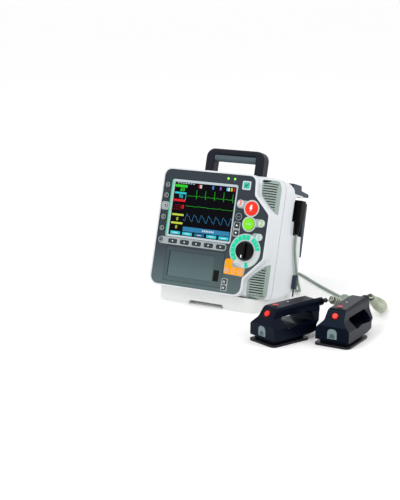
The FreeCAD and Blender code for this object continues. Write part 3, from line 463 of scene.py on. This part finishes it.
upper = np.linspace(190, 249, 30)
lay_slot_shade("upper_slot_shade", upper, np.interp(upper, (187, 191, 221, 250), (122, 116, 90, 86)) + 1)
lower = np.linspace(44, 98, 28)
lay_slot_shade("lower_slot_shade", lower, np.interp(lower, (34.5, 66, 98), (85, 86, 117)) + 1)


# ---- Front panel ----------------------------------------------------------------------------
# The panel is slate ABS with a satin face, painted a shade lighter low on the left: a painted
# sheen.
# Light grey printed plates carry the keys, and coloured ink marks the steps 1, 2 and 3.
def painted_light_ramp(name, low, high, start, end, axis, rough, gloss=0.5):
    """Satin ABS whose colour runs from low to high along an object axis, in metres: painted light
    laid into the colour.
    """
    material = moulded(name, low, rough=rough, gloss=gloss)
    tree = material.node_tree
    shader = next(n for n in tree.nodes if n.type == "BSDF_PRINCIPLED")
    tone = shader.inputs["Base Color"].links[0].from_node
    where = next(n for n in tree.nodes if n.type == "TEX_COORD").outputs["Object"]
    parts = add(tree, "ShaderNodeSeparateXYZ", links={"Vector": where})
    ramp = add(tree, "ShaderNodeMapRange", {"From Min": start, "From Max": end},
               {"Value": parts.outputs[axis]}, interpolation_type="SMOOTHSTEP")
    mixed = add(tree, "ShaderNodeMix", {"B": srgb(high)},
                {"Factor": ramp.outputs["Result"], "A": tone.outputs["Result"]}, data_type="RGBA")
    tree.links.new(mixed.outputs["Result"], shader.inputs["Base Color"])
    return material


# The lighter low colour is a painted sheen that fades into the slate above.
panel_paint = painted_light_ramp("slate_panel_abs", "#57696b", "#2c343c", 0.02, 0.13, "Z", 0.36, gloss=0.2)
plate_paint = moulded("grey_printed_plate", "#9aa4a6", rough=0.45, shade=0.03, gloss=0.3)
dress(panel_paint, "front_panel")
dress(plate_paint, "control_plates")


def loop_disc(u, s, r, count=40):
    """Corners of a disc."""
    turn = np.arange(count) * 2 * np.pi / count
    return np.column_stack([u + r * np.cos(turn), s + r * np.sin(turn)])


def loop_slab(u, s, w, h, r, lean=0.0):
    """Corners of a rounded rectangle, turned by lean degrees."""
    quarter = np.radians(np.linspace(0, 90, 6))
    corner = []
    for k, (a, b) in enumerate(((1, 1), (-1, 1), (-1, -1), (1, -1))):
        turn = quarter + k * np.pi / 2
        corner.append(np.column_stack([a * (w / 2 - r) + r * np.cos(turn),
                                       b * (h / 2 - r) + r * np.sin(turn)]))
    points = np.concatenate(corner)
    c, n = math.cos(math.radians(lean)), math.sin(math.radians(lean))
    return points @ np.array([[c, n], [-n, c]]) + (u, s)


def loop_arc(u, s, inner, outer, start, end, count=24):
    """Corners of a ring's sector between two angles, in degrees from the right."""
    turn = np.radians(np.linspace(start, end, count))
    rim = np.column_stack([np.cos(turn), np.sin(turn)])
    return np.concatenate([rim * outer, rim[::-1] * inner]) + (u, s)


def hoop(u, s, inner, outer, count):
    """Corners of a full ring, as two halves."""
    return [loop_arc(u, s, inner, outer, a, a + 180, count) for a in (0, 180)]


def printed(name, loops, d, body, material, thick=0.08):
    """Ink or film: flat outlines laid at depth d, each closed as a thin solid."""
    points, faces = [], []
    for loop in loops:
        n, first = len(loop), sum(len(p) for p in points)
        points += [face(loop[:, 0], loop[:, 1], d), face(loop[:, 0], loop[:, 1], d + thick)]
        front = list(range(first, first + n))
        back = list(range(first + n, first + 2 * n))
        faces += [front, back[::-1]]
        faces += [[front[i], back[i], back[(i + 1) % n], front[(i + 1) % n]] for i in range(n)]
    return build(name, np.concatenate(points), faces, body, material, smooth=False)


def numeral(name, text, size, u, s, d, body, material):
    """A generic number in flat raised ink, middle at u, s."""
    curve = bpy.data.curves.new(name + "_text", "FONT")
    curve.body = text
    curve.size = size
    curve.align_x = "CENTER"
    curve.align_y = "CENTER"
    curve.extrude = 0.04
    curve.offset = size * 0.02
    written = bpy.data.objects.new(name + "_text", curve)
    bpy.context.collection.objects.link(written)
    mesh = bpy.data.meshes.new_from_object(written)
    bpy.data.objects.remove(written)
    flat = np.empty(len(mesh.vertices) * 3)
    mesh.vertices.foreach_get("co", flat)
    flat = flat.reshape(-1, 3)
    mesh.vertices.foreach_set("co", face(u + flat[:, 0], s + flat[:, 1], d - flat[:, 2]).ravel())
    mesh.materials.clear()
    mesh.materials.append(material)
    mesh.update()
    piece = bpy.data.objects.new(name, mesh)
    bpy.context.collection.objects.link(piece)
    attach(piece, body)


PLATE_D = 0.12
SKIN_D = 0.72
ink_pale = moulded("pale_ink", "#c9d0d0", rough=0.5, shade=0.02, gloss=0.2)
ink_white = moulded("white_ink", "#f4f6f6", rough=0.5, shade=0.02, gloss=0.2)
ink_red = moulded("red_ink", "#ee3a24", rough=0.5, shade=0.03, gloss=0.15)
ink_green = moulded("green_ink", "#7fce30", rough=0.5, shade=0.03, gloss=0.15)
ink_teal = moulded("teal_ink", "#1fcfa4", rough=0.5, shade=0.03, gloss=0.15)
ink_orange = moulded("orange_ink", "#f59e00", rough=0.5, shade=0.03, gloss=0.15)
ink_dark = moulded("dark_ink", "#20262b", rough=0.5, shade=0.03, gloss=0.15)
ink_grey = moulded("grey_ink", "#8c979a", rough=0.5, shade=0.03)
for step, (ink, u, s) in {"3": (ink_red, 53.2, 202.4), "2": (ink_green, 101.1, 169.7),
                          "1": (ink_teal, 100.0, 144.6)}.items():
    printed("step_disc_" + step, [loop_disc(u, s, 6.3)], PLATE_D, "monitor",
            ink_pale)
    numeral("step_number_" + step, step, 12.5, u, s, PLATE_D - 0.06, "monitor", ink)

# ---- Mode dial ------------------------------------------------------------------------------
# A black ABS knob with a finger bar turns in a light plate.  A teal band marks the monitoring
# and shock steps, with pale divisions, and an orange field below takes in the pacing keys.
DIAL = (75.8, 117.1)
POINTER_D = -12.48
printed("dial_field", [loop_arc(*DIAL, 18.6, 30.8, 0, 180, 48),
                       loop_arc(*DIAL, 18.6, 30.8, 180, 298, 40),
                       loop_arc(*DIAL, 18.6, 30.8, 298, 360, 20)],
        PLATE_D + 0.02, "monitor", ink_pale)
printed("dial_band", [loop_arc(*DIAL, 20.5, 29.6, 74, 226, 48),
                      loop_arc(*DIAL, 20.5, 29.6, 6, 62, 24),
                      loop_arc(*DIAL, 21.5, 30.5, 276, 291, 8)],
        PLATE_D - 0.04, "monitor", ink_teal)
printed("dial_divisions", [loop_arc(*DIAL, 21.5 + 2 * (k % 2), 28.5, a - 0.6, a + 0.6, 3)
                           for k, a in enumerate((20, 34, 48, 92, 112, 132, 152, 172, 192, 212))],
        PLATE_D - 0.1, "monitor", ink_pale)
orange = np.array([(39.3, 71.6), (78.2, 70.9), (80.0, 84.6), (53.5, 86.0), (53.5, 93.2),
                   (58.2, 96.5), (50.2, 99.9), (41.8, 99.6), (39.0, 97.0)])
printed("pacing_field", [orange], PLATE_D, "monitor", ink_orange)
printed("pacing_legend", [loop_slab(64.5, 88.6 + 3.4 * k, 17 - 4 * k, 0.9, 0.3) for k in range(2)],
        PLATE_D - 0.1, "monitor", ink_grey)
knob_paint = moulded("black_knob_abs", "#030304", rough=0.3, gloss=0.16)
dress(knob_paint, "mode_knob")
printed("knob_pointer", [loop_slab(DIAL[0], DIAL[1] - 10.6, 2.0, 5.2, 0.9)], POINTER_D,
        "mode_knob", ink_white)

# ---- Keys -----------------------------------------------------------------------------------
# Silicone-backed ABS caps stand 1.4 mm out of the panel; the shock and charge keys are lit from
# behind and stand 3 mm out.  Marks are printed on the caps and move with them.
key_paint = moulded("dark_key_abs", "#2c343a", rough=0.5, gloss=0.2)
shock_paint = moulded("red_lit_key", "#ff2a10", rough=0.35, glow=0.1, gloss=0.25)
charge_paint = moulded("green_lit_key", "#74d61c", rough=0.35, glow=0.1, gloss=0.25)
pacer_paint = moulded("orange_key_abs", "#f39900", rough=0.45, gloss=0.15)
CAP_D = -0.66
TALL_D = -2.26
SHOCK_AT, CHARGE_AT, LEAD_AT = (77.3, 194.6), (76.5, 166.1), (54.1, 177.5)
SIDE_U, SOFT_S, PACER_S = -105.2, 118.4, 78.0
dress(shock_paint, "shock_key")
dress(charge_paint, "charge_key")
bolt = np.array([(-1.0, 6.2), (2.6, 6.2), (0.7, 1.6), (3.3, 1.6), (-2.0, -6.6), (-0.6, -0.9),
                 (-3.2, -0.9)])
printed("shock_bolt", [bolt + SHOCK_AT], TALL_D, "shock_key", ink_white)
printed("charge_mark", [loop_slab(CHARGE_AT[0] + k, CHARGE_AT[1], 1.8, 2.2, 0.5)
                        for k in (-3.4, 0, 3.4)], TALL_D, "charge_key", ink_pale)
printed("shock_surround", hoop(*SHOCK_AT, 13.2, 15.2, 30) + hoop(*CHARGE_AT, 11.7, 13.6, 30),
        PLATE_D, "monitor", ink_pale)
dark_keys = ["lead_select_key", "energy_up_key", "energy_down_key", "print_key", "feed_key"]
dress(key_paint, *dark_keys, *["soft_key_%d" % (k + 1) for k in range(5)],
      *["side_key_%d" % (k + 1) for k in range(6)])
dress(pacer_paint, *["pacer_key_%d" % (k + 1) for k in range(3)])
printed("lead_mark", hoop(*LEAD_AT, 5.6, 6.5, 20)
        + [loop_slab(LEAD_AT[0] + k, LEAD_AT[1], 1.4, 1.0, 0.3) for k in (-2.4, 0, 2.4)], CAP_D,
        "lead_select_key", ink_grey)
for name, s, way in (("energy_up", 161.4, 1), ("energy_down", 147.6, -1)):
    arrow = np.array([(-2.3, -1.3 * way), (2.3, -1.3 * way), (0, 2.1 * way)])[::way] + (52.4, s)
    printed(name + "_mark", [arrow], CAP_D, name + "_key", ink_white)
for name, s in (("print", 57.0), ("feed", 45.6)):
    printed(name + "_mark", [loop_slab(42.6, s + 1.0, 5.0, 0.9, 0.3),
                             loop_slab(40.5, s - 0.6, 0.9, 3.4, 0.3),
                             loop_slab(43.6, s - 1.6, 3.0, 0.9, 0.3)], CAP_D, name + "_key",
            ink_white)
for k, s in enumerate((222.9, 202.9, 183.0, 162.0, 140.6, 119.4)):
    ring = ink_grey if k != 2 else ink_pale
    printed("side_ring_%d" % (k + 1), hoop(SIDE_U, s, 3.3, 4.7, 20)
            + [loop_arc(SIDE_U, s, 0.6, 1.9, 100, 260 if k % 2 else 330, 10)], CAP_D,
            "side_key_%d" % (k + 1), ring)
for k in range(5):
    printed("soft_dot_%d" % (k + 1), [loop_slab(-78.2 + 25.8 * k, SOFT_S, 2.6, 1.8, 0.5)], CAP_D,
            "soft_key_%d" % (k + 1), ink_white)
for k, u in enumerate((44.4, 58.6, 72.8)):
    printed("pacer_ring_%d" % (k + 1), hoop(u, PACER_S, 4.0, 4.7, 20)
            + [loop_slab(u, PACER_S, 3.4, 0.8, 0.3),
               loop_slab(u, PACER_S, 0.8, 3.4 if k != 1 else 1.0, 0.3)],
            CAP_D, "pacer_key_%d" % (k + 1), ink_pale)

# ---- Lamps and status window ----------------------------------------------------------------
# Two green light-emitting diodes sit behind clear lenses, and a framed window shows readiness:
# a teal field with a dark tick.
lens_paint = moulded("lit_lens_acrylic", "#7df53c", rough=0.2, glow=1.1)
dress(lens_paint, "indicator_lenses")
STATUS = (60.8, 235.4)
STATUS_D = 0.42
printed("status_frame", [loop_slab(*STATUS, 17.4, 16.2, 2.4)], STATUS_D, "monitor",
        ink_pale)
printed("status_field", [loop_slab(*STATUS, 12.6, 11.6, 0.8)], 0.36, "monitor",
        moulded("teal_lens", "#2fae96", rough=0.2, glow=0.15))
tick = np.array([(-3.6, 1.0), (-1.2, -3.9), (3.9, 3.4), (2.6, 4.3), (-1.0, -0.9),
                 (-2.2, 1.9)])
printed("status_tick", [tick + STATUS], 0.3, "monitor", ink_dark)
printed("lamp_ticks", [loop_slab(u, 240.6, 1.6, 0.5, 0.2) for u in (21.3, 35.1)], SKIN_D,
        "monitor", ink_grey)

# ---- Screen ---------------------------------------------------------------------------------
# A 6.5-inch colour display behind hard-coated glass in a silvered bezel.  The picture is drawn
# as bright thin films on the glass: three traces, readings in a column, and soft-key names.
# The teal at the bezel's left edge is a painted reflection; the rest is the bezel's silver.
bezel_paint = painted_light_ramp("silvered_bezel_abs", "#0fb884", "#b3bfc5", -0.0975, -0.0893, "X", 0.28,
                     gloss=0.3)
dress(bezel_paint, "screen_bezel")
glass_paint, tree, shader = blank("hard_coated_glass")
smear = add(tree, "ShaderNodeTexNoise", {"Scale": 30.0, "Detail": 3.0},
            {"Vector": add(tree, "ShaderNodeTexCoord").outputs["Object"]})
film = add(tree, "ShaderNodeMapRange", {"To Min": 0.06, "To Max": 0.12},
           {"Value": smear.outputs["Fac"]})
tree.links.new(film.outputs["Result"], shader.inputs["Roughness"])
shader.inputs["Base Color"].default_value = srgb("#03030a")
shader.inputs["Specular IOR Level"].default_value = 0.05
dress(glass_paint, "screen_glass")
dress(moulded("display_can_steel", "#15171b", rough=0.5), "display_module")

SCREEN_L, SCREEN_TOP, SCREEN_W, SCREEN_H = -90.5, 230.2, 132.0, 100.0
GLASS_D = 1.84
WORD_D = GLASS_D - 0.1


def lit(name, code, strength=1.0):
    """A film that only glows, as a display's dots do: its colour is all emission."""
    material, tree, shader = blank(name)
    where = add(tree, "ShaderNodeTexCoord").outputs["Object"]
    dots = add(tree, "ShaderNodeTexNoise", {"Scale": 900.0, "Detail": 1.0},
               {"Vector": where})
    dim = [c * 0.8 for c in srgb(code)[:3]] + [1.0]
    tone = add(tree, "ShaderNodeMix", {"A": dim, "B": srgb(code)}, {"Factor": dots.outputs["Fac"]},
               data_type="RGBA")
    tree.links.new(tone.outputs["Result"], shader.inputs["Emission Color"])
    shader.inputs["Emission Strength"].default_value = strength
    shader.inputs["Base Color"].default_value = srgb("#050505")
    shader.inputs["Specular IOR Level"].default_value = 0.1
    return material


def on_screen(x, y):
    """A fraction across and down the screen as u, s in millimetres."""
    return SCREEN_L + np.asarray(x) * SCREEN_W, SCREEN_TOP - np.asarray(y) * SCREEN_H


def screen_block(x, y, w, h, r=0.4):
    """Corners of a block whose middle and size are fractions of the screen."""
    u, s = on_screen(x, y)
    return loop_slab(u, s, w * SCREEN_W, h * SCREEN_H, r)


def trace(name, x, y, width, material):
    """A line on the screen: a thin square section of even width along the points."""
    u, s = on_screen(x, y)
    line = face(u, s, GLASS_D)
    toward = np.broadcast_to(face(0, 0, 1.0) - face(0, 0, 0), line.shape)
    points, faces = tube(line, toward, width / 2000, 4)
    build(name, points, faces, "monitor", material, smooth=False)


lit_green = lit("lit_green", "#2fd52b")
lit_cyan = lit("lit_cyan", "#35cfe0")
lit_red = lit("lit_red", "#f01d24")
lit_lime = lit("lit_lime", "#cfe34a")
lit_blue = lit("lit_blue", "#3f93c8")
lit_bar = lit("lit_bar_blue", "#3187b5")
lit_deep = lit("lit_deep_blue", "#1c6f94")
lit_white = lit("lit_white", "#dfe9ee")

beat = np.array([(0, 0), (0.022, 0), (0.028, -0.012), (0.036, 0), (0.048, 0.008),
                 (0.053, -0.125), (0.059, 0.045), (0.066, 0), (0.09, 0), (0.102, -0.018),
                 (0.114, 0), (0.146, 0)])
ecg = np.concatenate([beat + (0.315 + 0.146 * k, 0.245) for k in range(5)])
ecg = ecg[ecg[:, 0] < 0.985]
ecg = np.concatenate([[(0.225, 0.245)], ecg])
trace("trace_ecg", ecg[:, 0], ecg[:, 1], 0.5, lit_green)
x = np.linspace(0.22, 0.985, 90)
trace("trace_flat", x, 0.435 + 0.004 * np.sin(x * 55) + 0.003 * np.sin(x * 23), 0.45,
      lit_green)
x = np.linspace(0.21, 0.985, 150)
phase = (x - 0.235) / 0.118 % 1
rise = np.clip(phase / 0.18, 0, 1)
fall = np.clip((phase - 0.18) / 0.82, 0, 1)
notch = 0.18 * np.exp(-((phase - 0.55) / 0.08) ** 2)
trace("trace_pulse", x, 0.725 - 0.15 * (rise * (1 - fall) ** 1.2 + notch), 0.55, lit_blue)
for name, x, y, w, h, paint in (
        ("head_heart", 0.105, 0.072, 0.20, 0.05, lit_green),
        ("head_oxygen", 0.105, 0.205, 0.19, 0.035, lit_cyan),
        ("head_pressure", 0.105, 0.345, 0.19, 0.042, lit_red),
        ("head_carbon", 0.11, 0.615, 0.19, 0.035, lit_lime),
        ("head_breath", 0.11, 0.772, 0.19, 0.035, lit_lime),
        ("bar_mode", 0.60, 0.868, 0.755, 0.085, lit_bar)):
    printed(name, [screen_block(x, y, w, h)], GLASS_D, "monitor", paint)
for k in range(5):
    paint, label = (lit_deep, 0.07) if k == 2 else (lit_cyan, 0.08)
    across = 0.107 + 0.197 * k
    printed("soft_name_%d" % (k + 1), [screen_block(across, 0.955, 0.16, 0.058, 0.8)], GLASS_D,
            "monitor", paint)
    printed("soft_word_%d" % (k + 1), [screen_block(across, 0.955, label, 0.014)], WORD_D,
            "monitor", lit_white)
printed("mode_word", [screen_block(0.55 + 0.028 * k, 0.868, 0.017, 0.034) for k in range(7)],
        WORD_D, "monitor", lit_white)
printed("top_words", [screen_block(0.05 + 0.042 * k, 0.018, 0.028, 0.012) for k in range(7)],
        GLASS_D, "monitor", lit_white)
for name, text, size, x, y, paint in (
        ("read_heart", "60", 9.5, 0.13, 0.14, lit_green),
        ("read_oxygen", "95", 9.0, 0.12, 0.27, lit_cyan),
        ("read_pressure", "8", 10.0, 0.172, 0.465, lit_red),
        ("read_carbon", "0", 8.5, 0.11, 0.695, lit_lime),
        ("read_breath", "0", 8.5, 0.11, 0.85, lit_lime)):
    u, s = on_screen(x, y)
    numeral(name, text, size, u, s, GLASS_D, "monitor", paint)
printed("pressure_dots", [screen_block(0.04 + 0.032 * i, 0.43 + 0.042 * j, 0.008, 0.01, 0.2)
                          for i in range(4) for j in range(3)],
        GLASS_D, "monitor", lit_red)
printed("oxygen_column", [screen_block(0.198, 0.265, 0.008, 0.13, 0.3)], GLASS_D, "monitor",
        lit_cyan)
ICONS = ((0.40, "#e8324a"), (0.425, "#e9e9ef"), (0.62, "#4f8fd6"), (0.742, "#8a5cc8"),
         (0.85, "#3fd2e6"), (0.875, "#e8f4f6"), (0.918, "#d8cf38"), (0.962, "#b3202a"))
for k, (x, code) in enumerate(ICONS):
    printed("icon_%d" % (k + 1), [screen_block(x, 0.052, 0.026, 0.062, 0.5)], GLASS_D, "monitor",
            lit("lit_icon_%d" % (k + 1), code))

# ---- Recorder -------------------------------------------------------------------------------
# The strip recorder is a slate ABS module set in the panel, with a door hinged at its left and
# a black latch.  A roll of thermal paper turns behind the door.
# Module and door are painted lighter low down: a painted sheen, as on the panel.
module_paint = painted_light_ramp("slate_module_abs", "#4e6062", "#39464b", 0.03, 0.11, "Z", 0.4, gloss=0.2)
door_paint = painted_light_ramp("slate_door_abs", "#5a7072", "#3f4e52", 0.03, 0.11, "Z", 0.4, gloss=0.2)
dress(module_paint, "printer_module")
dress(door_paint, "printer_door")
dress(moulded("black_latch_abs", "#040506", rough=0.4, gloss=0.15), "door_latch")
door_u, door_s, door_w, door_h = -32.6, 76.8, 97.0, 46.6
gap_paint = moulded("door_gap_shadow", "#14191b", rough=0.8, gloss=0.1)
printed("door_gap", [loop_slab(door_u, door_s + way * (door_h / 2 + 0.65), door_w + 2.6, 0.9, 0.3)
                     for way in (-1, 1)]
        + [loop_slab(door_u + way * (door_w / 2 + 0.65), door_s, 0.9, door_h + 0.4, 0.3)
           for way in (-1, 1)], SKIN_D, "monitor", gap_paint)
MODULE_U, MODULE_S = -26.2, 76.6
printed("module_gap", [loop_slab(MODULE_U, MODULE_S + way * 32.3, 124.0, 0.6, 0.2)
                       for way in (-1, 1)]
        + [loop_slab(MODULE_U + way * 62.3, MODULE_S, 0.6, 64.0, 0.2) for way in (-1, 1)],
        SKIN_D, "monitor", gap_paint)
dress(moulded("thermal_paper", "#eceae2", rough=0.9, grain_mm=0.3, depth=0.3), "paper_roll")

# ---- Handle ---------------------------------------------------------------------------------
# The carrying handle is a navy glass-filled nylon bail, let into the case top, with a soft
# slate sleeve for the fingers under its bar.
handle_paint = moulded("navy_handle_nylon", "#0c111e", rough=0.4, gloss=0.22)
dress(handle_paint, "carry_handle")
dress(moulded("slate_grip_rubber", "#4d5d63", rough=0.55, gloss=0.3), "handle_grip")

# ---- Rear cradle, hook and socket -----------------------------------------------------------
# The paddles park in a slate cradle on the back; the cord runs through a slate hook on the side
# and ends in a black moulded plug with a bend relief.
cradle_paint = moulded("slate_cradle_abs", "#2f3b48", rough=0.45, gloss=0.25)
dress(cradle_paint, "rear_cradle", "cable_hook")
plug_paint = moulded("black_plug_pvc", "#030306", rough=0.5, gloss=0.1)
dress(plug_paint, "paddle_plug", "paddle_socket")

# ---- Inner units ----------------------------------------------------------------------------
# Battery, boards, capacitor, loudspeaker and rotary switch stand inside the case.
dress(moulded("battery_case_abs", "#2b2f36", rough=0.5), "battery_pack")
dress(moulded("board_laminate", "#1f5a3a", rough=0.4), "circuit_boards")
dress(moulded("unit_grey_abs", "#6d7276", rough=0.5), "mode_switch", "speaker")
can_paint, tree, shader = blank("aluminium_can")
roll = add(tree, "ShaderNodeTexNoise", {"Scale": 80.0, "Detail": 2.0},
           {"Vector": add(tree, "ShaderNodeTexCoord").outputs["Object"]})
dull = add(tree, "ShaderNodeMapRange", {"To Min": 0.25, "To Max": 0.4},
           {"Value": roll.outputs["Fac"]})
tree.links.new(dull.outputs["Result"], shader.inputs["Roughness"])
shader.inputs["Metallic"].default_value = 1.0
shader.inputs["Base Color"].default_value = srgb("#c3c6ca")
dress(can_paint, "storage_capacitor")

# ---- Paddles --------------------------------------------------------------------------------
# Two black PC-ABS hand paddles with a red discharge button in a round boss and a grey arched tab
# that frees the adult plate.  The plates are steel, brushed along, and look dark from above.
# A blue tint in the paddles' gloss gives them their navy look.
paddle_paint = moulded("black_paddle_abs", "#060a17", rough=0.28, shade=0.2, gloss=0.15)
paddle_shader = next(n for n in paddle_paint.node_tree.nodes if n.type == "BSDF_PRINCIPLED")
paddle_shader.inputs["Specular Tint"].default_value = srgb("#7f9fc4")
# The red button's faint glow is painted light; the button holds no lamp.
button_paint = moulded("red_button_silicone", "#f3160b", rough=0.35, glow=0.1)
tab_paint = moulded("grey_tab_abs", "#6d8283", rough=0.4)
steel_paint, tree, shader = blank("brushed_stainless_plate")
where = add(tree, "ShaderNodeTexCoord").outputs["Object"]
long = add(tree, "ShaderNodeMapping", {"Scale": (40, 1200, 40)}, {"Vector": where})
brush = add(tree, "ShaderNodeTexNoise", {"Scale": 1.0, "Detail": 2.0},
            {"Vector": long.outputs["Vector"]})
dull = add(tree, "ShaderNodeMapRange", {"To Min": 0.28, "To Max": 0.45},
           {"Value": brush.outputs["Fac"]})
tree.links.new(dull.outputs["Result"], shader.inputs["Roughness"])
shader.inputs["Metallic"].default_value = 0.6
shader.inputs["Base Color"].default_value = srgb("#1a1b22")
for side in ("left", "right"):
    dress(paddle_paint, side + "_paddle_body")
    dress(button_paint, side + "_shock_button")
    dress(tab_paint, side + "_plate_latch")
    dress(steel_paint, side + "_electrode_plate")


# ---- Paddle trim ----------------------------------------------------------------------------
# Round each button is a raised boss ring; on the grip's top are a pale red contact label and a
# white dot, and on the plate's release tab a darker arch shows where the thumb goes.
boss_paint = moulded("boss_rubber", "#050509", rough=0.55, gloss=0.2)
label_paint = moulded("red_label_film", "#c23a3f", rough=0.5, shade=0.05)
mark_paint = moulded("dark_tab_mark", "#46585b", rough=0.45, gloss=0.3)
PADDLES = {"left": (208.0, -187.4, -21.4), "right": (301.0, -142.0, -0.3)}
TAB_FRONT, GRIP_TOP = -39.4, 61.9
LABEL_PROUD, LABEL_SUNK = 0.25, 0.2
BOSS_R, BOSS_BEAD, BOSS_RISE = 7.2, 1.5, 0.7
BOSS_POINTS, BEAD_POINTS = 32, 12
BUTTON_LEAN = math.atan2(27.0, 19.0)
BUTTON_MIDDLE = np.array([0, -27.0, 33 + 11.5 * 27 / 19])
BUTTON_AXIS = np.array([0, -math.sin(BUTTON_LEAN), math.cos(BUTTON_LEAN)])


def held(side, local):
    """Places in a paddle's own millimetres, turned and moved to where the paddle lies."""
    x, y, turn = PADDLES[side]
    c, n = math.cos(math.radians(turn)), math.sin(math.radians(turn))
    local = np.asarray(local, float)
    return np.stack([x + c * local[..., 0] - n * local[..., 1],
                     y + n * local[..., 0] + c * local[..., 1], local[..., 2]], -1) / 1000


def patch(name, side, loop, place, material, part="_paddle"):
    """A flat closed label, set in the paddle's own millimetres by place(a, b, out)."""
    n = len(loop)
    points = np.concatenate([place(loop[:, 0], loop[:, 1], LABEL_PROUD),
                             place(loop[:, 0], loop[:, 1], -LABEL_SUNK)])
    faces = [list(range(n)), list(range(n, 2 * n))[::-1]]
    faces += [[i, n + i, n + (i + 1) % n, (i + 1) % n] for i in range(n)]
    build(name, held(side, points), faces, side + part, material, smooth=False)


def on_tab(a, b, out):
    """On the release tab's front: a across, b up."""
    return np.stack([a, TAB_FRONT - out + 0.0 * a, b], -1)


def on_top(a, b, out):
    """On the grip's top: a across, b along."""
    return np.stack([a, b, GRIP_TOP + 0.0 * a + out + (b + 20) * 0.02], -1)


for side in PADDLES:
    turn = np.linspace(0, 2 * np.pi, BOSS_POINTS + 1)[:-1]
    swing = np.linspace(0, 2 * np.pi, BEAD_POINTS + 1)[:-1]
    away = np.array([1.0, 0, 0])
    up = np.cross(BUTTON_AXIS, away)
    around = away * np.cos(turn)[:, None] + up * np.sin(turn)[:, None]
    ring = (BUTTON_MIDDLE + around[:, None] * (BOSS_R + BOSS_BEAD * np.cos(swing))[None, :, None]
            + BUTTON_AXIS * (BOSS_RISE * np.sin(swing))[None, :, None])
    build(side + "_button_boss", held(side, ring).reshape(-1, 3),
          grid_faces(BOSS_POINTS, BEAD_POINTS, True, True)[:, ::-1],
          side + "_paddle", boss_paint)
    patch(side + "_contact_label", side, loop_slab(0, -9.5, 9.0, 8.0, 2.0), on_top,
          label_paint)
    patch(side + "_contact_dot", side, loop_disc(0, 18.0, 1.2, 16), on_top,
          ink_white)
    bow = np.linspace(0, np.pi, 17)
    arch = np.concatenate([[[-4.6, 14.6], [4.6, 14.6]],
                           np.stack([4.6 * np.cos(bow), 18.0 + 4.2 * np.sin(bow)], -1)])
    patch(side + "_tab_mark", side, arch, on_tab, mark_paint,
          part="_plate_latch")
